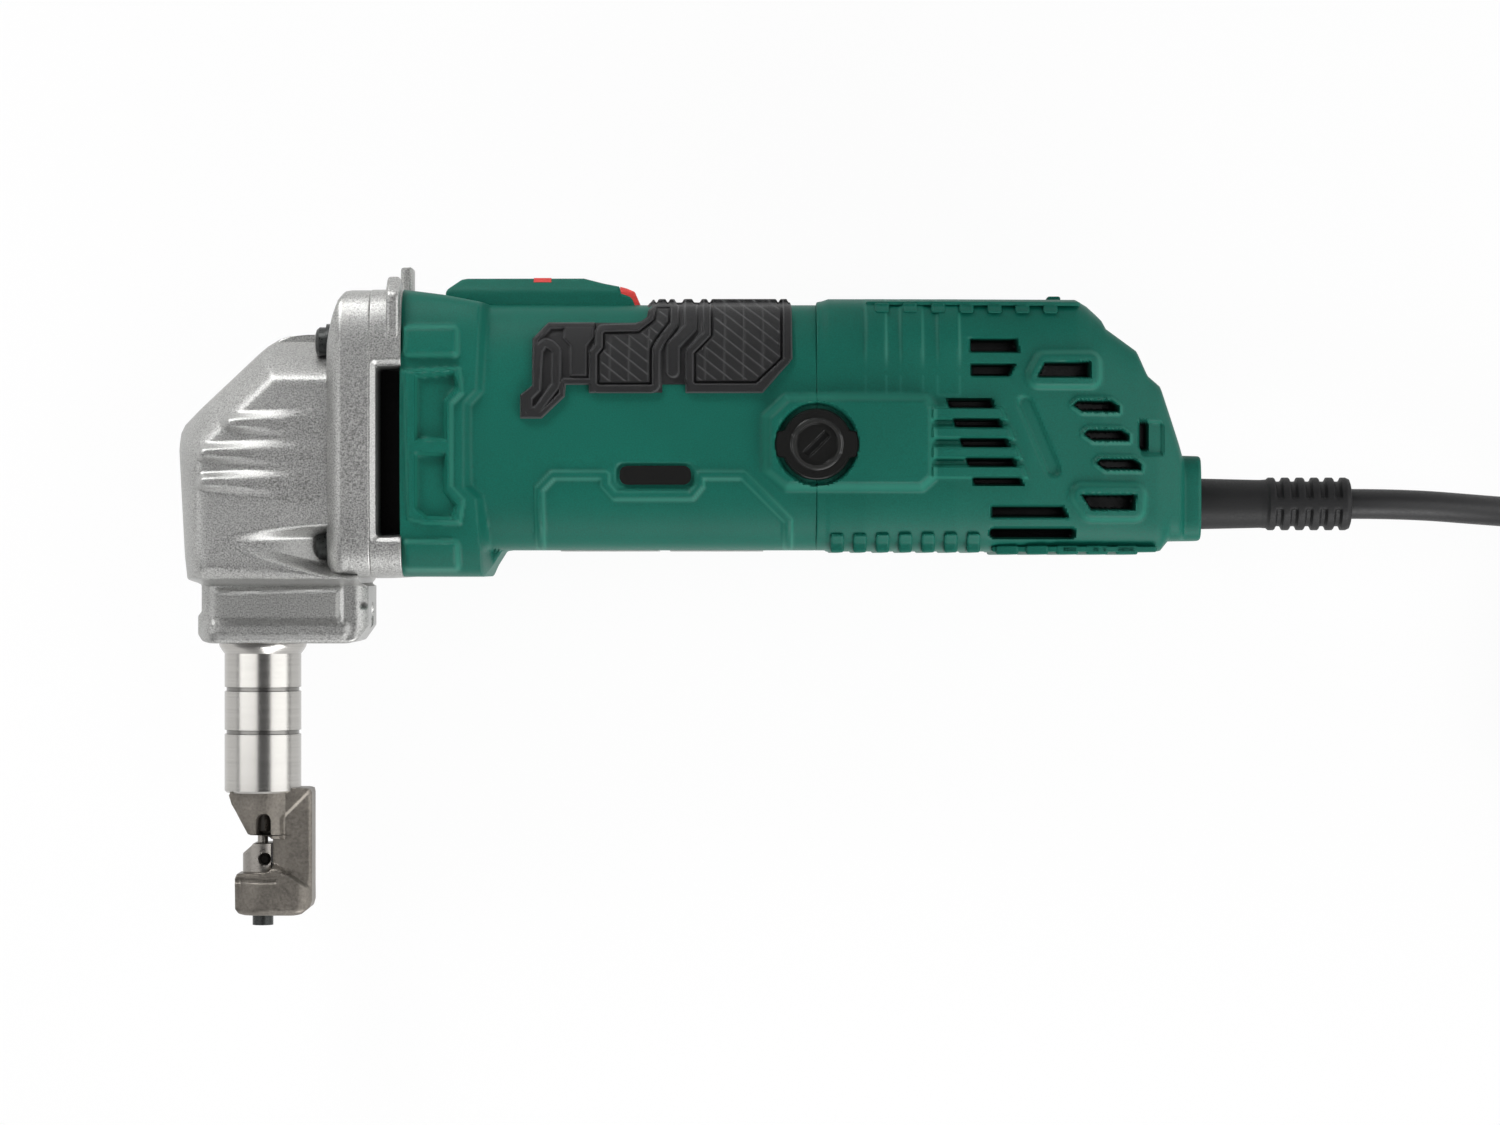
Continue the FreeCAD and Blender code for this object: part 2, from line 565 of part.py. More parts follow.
def cover_ring():
    outer = prism("YZ", octagon("flange_top", "flange_base", "flange_half", "flange_cut"),
                  "flange_end", "ring_end")
    hub = fuse(rod("X", "brg_rad + 3", "flange_end", "ring_end"),
               rod("X", "bush_rad + 2.2", "flange_end", "front_brg + bush_long + 0.4", "lay_y"))
    air = cut(rod("X", "fan_room", "flange_end + 2.2", "ring_end + 1"), hub)
    windows = box("flange_end + 1.35", "ring_end + 1", "-22.8", "19.6", "-flange_half - 1",
                  "flange_half + 1")
    windows = cut(windows, rod("X", "fan_room - 1", "flange_end", "ring_end + 2"))
    lugs = [box("ring_end - 3.4", "ring_end - 0.4", "flange_top - 2", top, z + " - 3.5", z + " + 3.5")
            for top, z in (("lug_low", "17.5"), ("lug_top", "-17.5"))]
    holes = [rod("X", "screw_rad + 0.1", "flange_end - 1", "ring_end + 1", y, z)
             for y, z in screw_spots()]
    node("gear_cover_ring", cut(
        fuse(outer, *lugs), air, windows, *holes,
        rod("X", "brg_rad", "front_brg", "ring_end + 1"),
        rod("X", "shaft_rad + 1", "flange_end - 1", "front_brg + 1"),
        rod("X", "bush_rad", "front_brg", "front_brg + bush_long", "lay_y"),
        rod("X", "lay_rad + 0.4", "flange_end - 1", "front_brg + 1", "lay_y")))
    node("armature_bearings", *[ring("X", "brg_rad", "shaft_rad + run_gap", start,
                                     start + " + brg_wide")
                                for start in ("front_brg", "rear_brg")])
    screws = []
    for y, z in screw_spots():
        head = rod("X", "head_rad", "flange_start - 3.4", "flange_start", y, z)
        recess = rod("X", "1.8", "flange_start - 4", "flange_start - 1.6", y, z)
        shaft = rod("X", "screw_rad", "flange_start", "flare_end - 4", y, z)
        screws.append(cut(fuse(head, shaft), recess))
    node("flange_screws", *screws)


# ---------------------------------------------------------------- motor barrel

def barrel():
    flare = common(
        prism("YZ", octagon("flare_top", "flare_base", "flare_half", "flange_cut"),
              "ring_end", "flare_end + 5"),
        prism("XY", [("ring_end", "-flare_base"), ("flare_end", "-flare_base"),
                     ("flare_end + 4", "-barrel_base"), ("flare_end + 4", "barrel_top"),
                     ("ring_end + 10", "flare_top - 1.9"), ("ring_end", "flare_top")],
              "-flare_half", "flare_half"),
        prism("XZ", both_sides([("ring_end", "flare_half"), ("flare_end - 4", "flare_half"),
                                ("flare_end + 4", "barrel_half")]), "-flare_base", "flare_top"))
    body = prism("YZ", octagon("barrel_top", "barrel_base", "barrel_half", "barrel_cut"),
                 "flare_end", "barrel_end")
    boss_side = [("boss_start + 6", "-boss_base"), ("boss_end", "-boss_base"),
                 ("boss_end", "boss_top"), ("boss_start + 6", "boss_top"),
                 ("boss_start", "boss_top - 6"), ("boss_start", "-boss_base + 6")]
    bosses = [prism("XY", boss_side, "rear_half - wall", "flange_half"),
              prism("XY", boss_side, "-flange_half", "-(rear_half - wall)")]
    console = prism("XY", [
        ("console_start", "barrel_top - 1"), ("console_end", "barrel_top - 1"),
        ("console_end - 1.1", "console_top - 6.2"), ("console_end - 2.2", "console_top - 3.4"),
        ("console_end - 4.6", "console_top - 2.4"), ("console_end - 14.8", "console_top"),
        ("console_start + 3.9", "console_top"), ("console_start", "console_top - 3.1")],
        "-console_half", "console_half")
    channel = box("console_start + 7", "console_end - 8", "barrel_top - 1.5", "console_top + 1",
                  "-slide_half", "slide_half")
    slit = box("68", "82", "20", "console_top", "-2.4", "2.4")
    insert = [("console_end - 1.1", "console_top - 6.6"), ("console_end + 0.3", "console_top - 6.6"),
              ("console_end - 0.4", "console_top - 4.4"), ("console_end - 1.6", "console_top - 2.9"),
              ("console_end - 2.2", "console_top - 3.4")]
    rooms = [
        rod("X", "fan_room", "ring_end - 1", "flare_end"),
        rod("X", "field_rad - 1", "flare_end - 1", "core_x"),
        rod("X", "field_rad", "core_x", "barrel_end + 1"),
        box("core_x - 8", "barrel_end + 1", "0", "barrel_top - wall", "-5", "5"),
        channel, slit, prism("XY", insert, "-slide_half", "slide_half"),
    ]
    inner_boss = box("barrel_end", "boss_end + 1", "-40", "40", "-rear_half + wall + 2",
                     "rear_half - wall - 2")
    for y, z in screw_spots():
        rooms.append(rod("X", "screw_rad", "ring_end - 1", "flare_end - 4", y, z))
    for low, high in (("comm_rad", "flange_half + 1"), ("-flange_half - 1", "-comm_rad")):
        rooms.append(box("brush_x - brush_half - holder_wall", "brush_x + brush_half + holder_wall",
                         "-brush_tall - holder_wall", "brush_tall + holder_wall", low, high))
    for low, high in (("flange_half - cap_thick", "flange_half + 1"),
                      ("-flange_half - 1", "-flange_half + cap_thick")):
        rooms.append(rod("Z", "cap_rad + 0.2", low, high, "brush_x", "0"))
        rooms.append(box("brush_x - cap_ear - 0.2", "brush_x + cap_ear + 0.2", "-3.2", "3.2",
                         low, high))
    node("motor_barrel", cut(fuse(flare, body, console, *bosses), inner_boss, *rooms))

    # rubber grip, one skin round both sides and over the top behind the console
    grip_side = [
        ("grip_start", "12.8"), ("grip_start + 2.5", "14.6"), ("grip_start + 2.7", "26.9"),
        ("grip_start + 6.2", "30.6"), ("console_end + 0.6", "30.6"), ("console_end + 0.6", "42"),
        ("grip_end", "42"), ("grip_end", "20.9"), ("grip_end - 8", "13.2"),
        ("grip_end - 26.8", "13"), ("grip_end - 27", "15"), ("grip_end - 32", "15"),
        ("grip_end - 32.4", "13"), ("grip_end - 50.4", "13"), ("grip_end - 50.8", "15"),
        ("grip_end - 56", "15"), ("grip_end - 56", "11.7"), ("grip_end - 61.4", "7"),
        ("grip_start", "7")]
    skin = cut(
        prism("YZ", octagon("barrel_top + grip_thick", "barrel_base + grip_thick",
                            "barrel_half + grip_thick", "barrel_cut"), "grip_start", "grip_end"),
        prism("YZ", octagon("barrel_top", "barrel_base", "barrel_half", "barrel_cut"),
              "grip_start - 1", "grip_end + 1"))
    node("rubber_grip", common(skin, prism("XY", grip_side, "-barrel_half - 5", "barrel_half + 5")))

    # plates that carry nothing
    node("blank_plate", box("90", "106.4", "-8.7", "-5.1", "barrel_half", "barrel_half + 0.5"))
    node("blank_labels",
         box("75", "99", "-barrel_base - 0.3", "-barrel_base", "-13", "13"),
         box("102", "125", "-barrel_base - 0.3", "-barrel_base", "-13", "13"))

    # slide switch: button on top, link inside the barrel
    ease = "lay_gap"
    tab_y = "barrel_top - 1.5 + %s" % ease
    button = fuse(
        prism("XY", [("62", tab_y), ("86", tab_y), ("84.5", "console_top - 2.2"),
                     ("73", "console_top - 1.2"), ("72.4", "console_top + 0.4"),
                     ("68.6", "console_top + 0.4"), ("68", "console_top - 1.2"),
                     ("63.5", "console_top - 2.2")],
              "-slide_half + %s" % ease, "slide_half - %s" % ease),
        box("75", "81", "link_low", "barrel_top", "-2", "2"))
    node("switch_button", button)
    link_top = "link_low + link_tall"
    node("switch_link", fuse(box("81", "170.9", "link_low", link_top, "-2", "2"),
                             box("168", "170.9", "10.8", link_top, "-2", "2"),
                             box("168", "177.9", "10.8", "13", "-2", "2")))
    node("console_insert", prism("XY", insert, "-slide_half", "slide_half"))


# ---------------------------------------------------------------- motor

def motor():
    core_end = "core_x + core_long"
    poles = box("core_x - 1", core_end + " + 1", "-field_rad", "field_rad", "-9", "9")
    yoke = ring("X", "field_rad", "field_rad - 3.6", "core_x", core_end)
    shoes = common(ring("X", "field_rad - 3", "field_bore", "core_x", core_end), poles)
    node("field_core", fuse(yoke, shoes))
    for label, low, high in (("field_coil_top", "0.4", "field_rad"),
                             ("field_coil_base", "-field_rad", "-0.4")):
        loop = cut(ring("X", "field_rad - 3.9", "field_bore + 0.3", "core_x - turn_long",
                        core_end + " + turn_long"),
                   box("core_x - 0.2", core_end + " + 0.2", "-field_rad", "field_rad",
                       "-9.3", "9.3"))
        node(label, common(loop, box("core_x - 9", core_end + " + 9", low, high, "-field_rad",
                                     "field_rad")))
    slots, bars = [], []
    slot_at = "rotor_rad - 2.6"
    for k in range(10):
        angle = 36 * k
        y = "(%s) * cos(%d deg)" % (slot_at, angle)
        z = "(%s) * sin(%d deg)" % (slot_at, angle)
        slots.append(rod("X", "1.9", "core_x - 1", core_end + " + 1", y, z))
        bars.append(rod("X", "1.85", "core_x - turn_long", core_end + " + turn_long", y, z))
    node("armature_core", cut(ring("X", "rotor_rad", "shaft_rad", "core_x", core_end), *slots))
    for start, end in (("core_x - turn_long", "core_x"), (core_end, core_end + " + turn_long")):
        bars.append(ring("X", "rotor_rad - 0.6", "shaft_rad + 0.6", start, end))
    node("armature_windings", fuse(*bars))
    slits = []
    for k in range(10):
        slit = box("brush_x - comm_long / 2 - 1", "brush_x + comm_long / 2 + 1", "comm_rad - 1.2",
                   "comm_rad + 1", "-0.3", "0.3")
        turned_slit = doc.addObject("Part::Compound", "Slit")
        turned_slit.Links = [slit]
        turned_slit.Placement = FreeCAD.Placement(
            FreeCAD.Vector(), FreeCAD.Rotation(FreeCAD.Vector(1, 0, 0), 36 * k + 18))
        slits.append(turned_slit)
    node("commutator", cut(ring("X", "comm_rad", "shaft_rad", "brush_x - comm_long / 2",
                                "brush_x + comm_long / 2"), *slits))
    disc = ring("X", "fan_rad", "shaft_rad", "fan_x + fan_wide - 2", "fan_x + fan_wide")
    hub = ring("X", "7.5", "shaft_rad", "fan_x", "fan_x + fan_wide")
    blades = []
    for k in range(9):
        blade = box("fan_x", "fan_x + fan_wide - 1", "7", "fan_rad - 0.3", "-0.8", "0.8")
        turned_blade = doc.addObject("Part::Compound", "Blade")
        turned_blade.Links = [blade]
        turned_blade.Placement = FreeCAD.Placement(
            FreeCAD.Vector(), FreeCAD.Rotation(FreeCAD.Vector(1, 0, 0), 40 * k))
        blades.append(turned_blade)
    node("cooling_fan", fuse(disc, hub, *blades))
    node("air_baffle", ring("X", "fan_room", "15", "baffle_x - 1", "flare_end"))
    brush_gear()


def brush_gear():
    """Brushes, springs, holders and caps, each on both sides of the commutator."""
    top = "flange_half - cap_thick"
    reach = "brush_half + holder_wall"
    height = "brush_tall + holder_wall"

    def spans(low, high):
        """Z ranges of one thing on the left side and on the right side."""
        return [(low, high), ("-(%s)" % high, "-(%s)" % low)]

    def blocks(half_x, half_y, low, high):
        return [box("brush_x - (%s)" % half_x, "brush_x + (%s)" % half_x, "-(%s)" % half_y, half_y,
                    *span) for span in spans(low, high)]

    brush_back = "comm_rad + 0.1 + brush_long"
    node("carbon_brushes", *blocks("brush_half", "brush_tall", "comm_rad + 0.1", brush_back))
    outer = blocks(reach, height, "comm_rad + 1.2", top)
    inner = blocks("brush_half", "brush_tall", "comm_rad", top + " + 1")
    node("brush_holders", *[cut(shell, room) for shell, room in zip(outer, inner)])
    node("brush_springs", *[ring("Z", "brush_half - 0.3", "brush_half - 1", low, high, "brush_x", "0")
                            for low, high in spans(brush_back, top)])
    caps = []
    for (low, high), (slot_low, slot_high) in zip(spans(top, "flange_half"),
                                                  spans("flange_half - 1", "flange_half + 1")):
        groove = doc.addObject("Part::Compound", "CapSlot")
        groove.Links = [box("-3.5", "3.5", "-0.9", "0.9", slot_low, slot_high)]
        groove.Placement = FreeCAD.Placement(
            FreeCAD.Vector(), FreeCAD.Rotation(FreeCAD.Vector(0, 0, 1), 45))
        place(groove, "brush_x", "0", "0")
        ears = box("brush_x - cap_ear", "brush_x + cap_ear", "-3", "3", low, high)
        caps.append(cut(fuse(rod("Z", "cap_rad", low, high, "brush_x", "0"), ears), groove))
    node("brush_caps", *caps)


# ---------------------------------------------------------------- rear shells

def rear_outline(inset):
    """Side outline of the rear end, moved inwards by an inset, as (X, Y) pairs."""
    top = "rear_top - (%s)" % inset
    base = "-rear_base + (%s)" % inset
    back = "gland_start - (%s)" % inset
    return [("barrel_end", base), (back + " - 5", base), (back + " - 3.5", "-gland_base + (%s)" % inset),
            (back, "-gland_base + (%s)" % inset), (back, "-gland_top - (%s) * 0.3" % inset),
            (back + " - 5.8", "14.5"), (back + " - 9.1", "17.2"), (back + " - 11.8", "23.2"),
            (back + " - 20", "29 - (%s) * 0.4" % inset), (back + " - 20.3", "30.6 - (%s) * 0.6" % inset),
            (back + " - 26.8", top), ("barrel_end", top)]


def rear_plan(inset):
    """Plan outline of the rear end, moved inwards by an inset, as (X, Z) pairs."""
    return both_sides([
        ("barrel_end", "rear_half - (%s)" % inset), ("170", "rear_half - 0.4 - (%s)" % inset),
        ("205", "rear_half - 4 - (%s)" % inset), ("gland_start - (%s)" % inset,
                                                  "rear_half - 9 - (%s)" % inset)])


def rear():
    solid = common(
        prism("XY", rear_outline("0"), "-rear_half", "rear_half"),
        prism("XZ", rear_plan("0"), "-rear_base", "rear_top"),
        prism("YZ", octagon("rear_top", "rear_base", "rear_half", "barrel_cut"),
              "barrel_end", "gland_start"))
    hollow = common(
        prism("XY", rear_outline("wall"), "-rear_half", "rear_half"),
        prism("XZ", rear_plan("wall"), "-rear_base", "rear_top"),
        prism("YZ", octagon("rear_top - wall", "rear_base - wall", "rear_half - wall",
                            "barrel_cut"), "barrel_end - 1", "gland_start"))
    web = cut(box("rear_brg", "rear_brg + brg_wide", "-rear_base", "link_low - 0.4", "-rear_half", "rear_half"),
              rod("X", "brg_rad", "rear_brg - 1", "rear_brg + brg_wide + 1"))
    posts = fuse(*[rod("Z", "4.2", "-rear_half", "rear_half", x, y) for x, y in rear_screws()])
    inner = common(fuse(web, posts), solid)
    entry = box("gland_start - 1", "gland_end", "-gland_base", "-gland_top", "-gland_half",
                "gland_half")
    shell = fuse(cut(solid, hollow), inner, entry)
    boss = prism("XY", [("barrel_end - 1", "-boss_base - 0.1"), ("boss_end + 0.1", "-boss_base - 0.1"),
                        ("boss_end + 0.1", "boss_top + 0.1"), ("barrel_end - 1", "boss_top + 0.1")],
                 "rear_half - wall - 2.1", "flange_half + 1")
    boss_far = prism("XY", [("barrel_end - 1", "-boss_base - 0.1"),
                            ("boss_end + 0.1", "-boss_base - 0.1"),
                            ("boss_end + 0.1", "boss_top + 0.1"),
                            ("barrel_end - 1", "boss_top + 0.1")],
                     "-flange_half - 1", "-rear_half + wall + 2.1")
    vents = []
    for x, y, length in VENTS:
        for low, high in (("12", "rear_half + 1"), ("-rear_half - 1", "-12")):
            vents.append(box("barrel_end + %s" % x, "barrel_end + %s + %s" % (x, length),
                             "%s" % y, "%s + vent_tall" % y, low, high))
    teeth = []
    for k in range(7):
        start = "barrel_end + 5 + %g" % (5.6 * k)
        teeth.append(box(start, start + " + 2.7", "-rear_base - 0.1", "-rear_base + 1.2", "-9", "9"))
    tabs = []
    for k in range(8):
        start = "barrel_end + 4 + %g" % (6.9 * k)
        tabs.append(box(start, start + " + 4.4", "rear_top - 0.9", "rear_top + 0.1", "-3", "3"))
    bore = rod("X", "boot_rad - 1.5", "gland_start - wall - 1", "gland_end + 1", "-cord_y")
    screw_holes = [rod("Z", "screw_rad", "-rear_half - 1", "16", x, y) for x, y in rear_screws()]
    sinks = [rod("Z", "head_rad + 0.2", "-rear_half - 1", "-14", x, y) for x, y in rear_screws()]
    whole = cut(shell, boss, boss_far, bore, *(vents + teeth + tabs + screw_holes + sinks))
    half = {"left": ("0", "rear_half + 5"), "right": ("-rear_half - 5", "0")}
    for side, (low, high) in half.items():
        node("rear_shell_" + side, common(whole, box("barrel_end", "gland_end", "-rear_base - 5",
                                                     "rear_top + 5", low, high)))
    screws = []
    for x, y in rear_screws():
        head = rod("Z", "head_rad", "-17.4", "-14", x, y)
        screws.append(fuse(head, rod("Z", "screw_rad", "-14", "14", x, y)))
    node("shell_screws", *screws)

    # electrics
    node("switch_body", cut(box("171 + slide_travel + 1", "201", "-8", "16", "-8.5", "8.5"),
                            box("176", "178.5", "13.5", "17", "-9", "9")))
    node("capacitor", box("172", "194", "-rear_base + wall", "-rear_base + wall + 12", "-10", "10"))
    clamp_low = "-cord_y - cord_rad - 3"
    clamp_high = "-cord_y + cord_rad + 3"
    for label, low, high in (("cord_clamp_base", "-6.5", "0"), ("cord_clamp_top", "0", "5")):
        node(label, cut(box("211", "221", clamp_low, clamp_high, low, high),
                        rod("X", "cord_rad", "210", "222", "-cord_y"),
                        *[rod("Z", "1.2", "-7", "6", "216", "-cord_y + %s" % dy)
                          for dy in ("5.2", "-5.2")]))
    node("clamp_screws", *[fuse(rod("Z", "1.2", "-6.3", "5", "216", "-cord_y + %s" % dy),
                                rod("Z", "1.5", "5", "6.6", "216", "-cord_y + %s" % dy))
                           for dy in ("5.2", "-5.2")])
    node("lead_inside", rod("X", "cord_rad", "209.5", "gland_start - wall - 0.2", "-cord_y"))


def rear_screws():
    """Places (X, Y) of the screws that join the two rear shells."""
    return [("144", "-19.5"), ("163", "31"), ("203.5", "22"), ("203", "-21")]


VENTS = [
    # start behind the barrel, lower edge above the motor axis, length
    ("37.4", "23.2", "11.7"), ("37.9", "17.4", "10.4"), ("31.8", "8.9", "17.4"),
    ("31.8", "4", "17.4"), ("31.8", "-0.6", "17.4"), ("31.8", "-5.2", "17.4"),
    ("33", "-9.6", "16"), ("43", "-17.5", "18.7"), ("42.5", "-22.6", "21"),
    ("54.2", "16.9", "12.9"), ("65.2", "-15.1", "12.9"), ("63.5", "8.3", "10.2"),
    ("66.1", "1.3", "10.2"), ("69.1", "-5.9", "10"),
]


# ---------------------------------------------------------------- cord

def bent_tube(points, label):
    """The cord along straight runs joined by tangent arcs, each as large as its runs allow."""
    radius = value("cord_rad")
    spots = [FreeCAD.Vector(value(x), value(y), value(z)) for x, y, z in points]
    edges, last = [], spots[0]
    for before, corner, after in zip(spots, spots[1:], spots[2:]):
        back, ahead = (before - corner), (after - corner)
        reach = 0.45 * min(back.Length, ahead.Length)
        half_turn = (math.pi - back.getAngle(ahead)) / 2
        bend = reach / math.tan(half_turn)
        print(label, "bend radius %.1f" % bend)
        start = corner + back.normalize() * reach
        end = corner + ahead.normalize() * reach
        inward = (start + end) * 0.5 - corner
        middle = corner + inward.normalize() * (bend / math.cos(half_turn) - bend)
        edges.append(Part.makeLine(last, start))
        edges.append(Part.Arc(start, middle, end).toShape())
        last = end
    edges.append(Part.makeLine(last, spots[-1]))
    path = Part.Wire(edges)
    circle = Part.makeCircle(radius, spots[0], spots[1] - spots[0])
    shape = path.makePipeShell([Part.Wire([circle])], True, False)
    expected = math.pi * radius ** 2 * path.Length
    print(label, "length %.1f, volume %.4f of section times length"
          % (path.Length, shape.Volume / expected))
    obj = doc.addObject("Part::Feature", "Lead")
    obj.Shape = shape
    node(label, obj)


def cord():
    # moulded boot: a neck in the entry block, a thick sleeve with grooves, a rounded tip
    tip = "boot_end - gland_end"
    profile = [("0", "0"), ("boot_rad - 1.5", "0"), ("boot_rad - 1.5", "gland_end - gland_start + wall"),
               ("boot_rad", "gland_end - gland_start + wall")]
    reach = "(gland_end - gland_start + wall)"
    for k in range(5):
        along = "%s + %s - 19.5 + %g" % (reach, tip, 3.6 * k)
        profile += [("boot_tip + 0.2", along), ("boot_tip - 0.9", along),
                    ("boot_tip - 0.9", along + " + 1.2"), ("boot_tip + 0.2", along + " + 1.2")]
    profile += [("boot_tip", "%s + %s - 1" % (reach, tip)),
                ("boot_tip - 1", "%s + %s" % (reach, tip)), ("0", "%s + %s" % (reach, tip))]
    boot = turned(profile, "0", "0", "0")
    laid = doc.addObject("Part::Compound", "LaidBoot")
    laid.Links = [boot]
    laid.Placement = FreeCAD.Placement(FreeCAD.Vector(),
                                       FreeCAD.Rotation(FreeCAD.Vector(0, 0, 1), -90))
    place(laid, "gland_start - wall", "-cord_y", "0")
    node("cord_boot", laid)

    floor = "-flange_half"
    low = floor + " + cord_rad"
    coil_side = "-coil_y + coil_mean + coil_half - cord_rad"
    route = [
        ("boot_end", "-cord_y", "0"), ("boot_end + 14", "-cord_y", "0"),
        ("boot_end + 35", "-cord_y - 1.5", "-7.5"), ("boot_end + 54", "-cord_y - 2.6", "-20.5"),
        ("boot_end + 73", "-cord_y - 3", low + " + 1.2"),
        ("coil_x - 14", coil_side, low + " + 1.2"),
    ]
    bent_tube(route, "cord_tube")
    inner, outer = "coil_mean - coil_half", "coil_mean + coil_half"
    corner = "5"
    bundle = turned([
        (inner + " + " + corner, "tie_thick"), (outer + " - " + corner, "tie_thick"),
        (outer, "tie_thick + " + corner), (outer, "coil_tall - " + corner),
        (outer + " - " + corner, "coil_tall"), (inner + " + " + corner, "coil_tall"),
        (inner, "coil_tall - " + corner), (inner, "tie_thick + " + corner)],
        "0", "0", "0", axis=(0, 0, 1), plane="XZ")
    place(bundle, "coil_x", "-coil_y", floor)
    node("cord_coil", bundle)
    tie_low, tie_high = "coil_x - coil_mean - coil_half", "coil_x - coil_mean + coil_half"
    tie = cut(box(tie_low + " - tie_thick - lay_gap", tie_high + " + tie_thick + tie_room",
                  "-coil_y - 7", "-coil_y + 7", floor, floor + " + coil_tall + tie_thick + lay_gap"),
              box(tie_low + " - lay_gap", tie_high + " + tie_room", "-coil_y - 8", "-coil_y + 8",
                  floor + " + tie_thick - 0.01", floor + " + coil_tall + lay_gap"))
    node("cord_tie", tie)

    # plug beside the coil, its pins pointing away along -Y
    plug_x = "coil_x + coil_mean + coil_half - cord_rad - 0.95"
    plug_y = "-coil_y - 62"
    mid = floor + " + 11"
    tail = [(plug_x + " + 0.9", "-coil_y - 12", floor + " + 19.6"),
            (plug_x + " + 0.6", "-coil_y - 28", floor + " + 18"),
            (plug_x, "-coil_y - 46", mid), (plug_x, plug_y, mid)]
    body = common(
        prism("XY", [(plug_x + " - 6", plug_y), (plug_x + " + 6", plug_y),
                     (plug_x + " + 8", plug_y + " - 16"), (plug_x + " + 17", plug_y + " - 26"),
                     (plug_x + " + 17.5", plug_y + " - 33"), (plug_x + " - 17.5", plug_y + " - 33"),
                     (plug_x + " - 17", plug_y + " - 26"), (plug_x + " - 8", plug_y + " - 16")],
              floor, floor + " + 22"),
        prism("YZ", [(plug_y, floor + " + 4.5"), (plug_y, floor + " + 17.5"),
                     (plug_y + " - 16", floor + " + 20"), (plug_y + " - 26", floor + " + 22"),
                     (plug_y + " - 33", floor + " + 22"), (plug_y + " - 33", floor),
                     (plug_y + " - 26", floor), (plug_y + " - 16", floor + " + 2")],
              plug_x + " - 20", plug_x + " + 20"))
    spots = ["%s + pin_pitch / 2" % plug_x, "%s - pin_pitch / 2" % plug_x]
    face = plug_y + " - 33"
    pins = [fuse(rod("Y", "pin_thick", face + " - pin_len", face + " - pin_root", x, mid),
                 rod("Y", "pin_thick - 0.4", face + " - pin_root", face + " + 6", x, mid))
            for x in spots]
    sockets = [rod("Y", "pin_thick - 0.4", face + " - 1", face + " + 6", x, mid) for x in spots]
    node("plug_body", cut(body, *sockets))
    node("plug_pins", *pins)
    bent_tube(tail, "cord_tail")


gears()
gear_head()
die_group()
cover_ring()
barrel()
motor()
rear()
cord()
doc.recompute()

failed = [obj.Name for obj in doc.Objects if "Invalid" in obj.State or "Error" in obj.State]
for obj in NODES:
    if obj.Shape.isNull() or not obj.Shape.isValid() or not obj.Shape.Solids:
        failed.append(obj.Label)
if failed:
    raise SystemExit("failed: " + ", ".join(failed))

os.makedirs("parts", exist_ok=True)
for obj in NODES:
    obj.Shape.exportStep("parts/%s.step" % obj.Label)
    bounds = obj.Shape.BoundBox
    print("%-22s solids %d  x %.1f..%.1f  y %.1f..%.1f  z %.1f..%.1f" % (
        obj.Label, len(obj.Shape.Solids), bounds.XMin, bounds.XMax, bounds.YMin, bounds.YMax,
        bounds.ZMin, bounds.ZMax))
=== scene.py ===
import json
import math
import bpy
import numpy as np
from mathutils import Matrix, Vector


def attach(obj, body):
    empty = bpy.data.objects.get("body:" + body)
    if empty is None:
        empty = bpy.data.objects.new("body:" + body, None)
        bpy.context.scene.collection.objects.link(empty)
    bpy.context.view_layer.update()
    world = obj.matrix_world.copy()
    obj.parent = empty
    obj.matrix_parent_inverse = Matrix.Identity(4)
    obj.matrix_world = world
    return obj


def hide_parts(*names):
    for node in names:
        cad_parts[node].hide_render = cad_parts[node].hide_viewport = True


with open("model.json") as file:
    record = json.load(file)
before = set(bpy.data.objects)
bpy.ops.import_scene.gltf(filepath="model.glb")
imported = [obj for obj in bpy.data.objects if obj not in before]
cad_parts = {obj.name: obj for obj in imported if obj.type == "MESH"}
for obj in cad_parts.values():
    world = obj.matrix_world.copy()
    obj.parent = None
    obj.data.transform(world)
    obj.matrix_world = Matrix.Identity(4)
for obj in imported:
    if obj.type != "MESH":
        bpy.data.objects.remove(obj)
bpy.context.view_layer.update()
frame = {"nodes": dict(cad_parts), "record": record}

# Lengths below are millimetres about the motor axis: x runs from the punch axis to the cord, y up
# to the console and z out of the left side. SHIFT moves them to the part's own origin.
SHIFT = np.array([-107.4, 36.625, 33.0])
FLOOR = -33.0

# Places along the tool that several pieces share.
FLANGE_FRONT = 18.6
RING_FRONT = 29.25
BARREL_FRONT = 36.6
SHELL_SEAM = 138.0
CORD_END = 233.4

# Heights and half widths of the sections.
FLANGE_TOP = 38.0
RING_TOP = 38.2
FLANGE_BASE = -32.5
BARREL_TOP = 34.75
BARREL_BASE = -25.7
HEAD_HALF = 29.0
BARREL_HALF = 29.0
FLANGE_HALF = 33.0
TUBE_RADIUS = 9.55
INDEX_GROOVES = (-60.3, -71.0)
CAP_DISH = 10.0
CORD_AXIS = -14.1
BOOT_END = 271.6
CORD_RADIUS = 3.75


def to_metres(points):
    """Points about the motor axis, as metres in the part's frame."""
    return (np.asarray(points, float) + SHIFT) / 1000.0


# ------------------------------------------------------------------ meshes

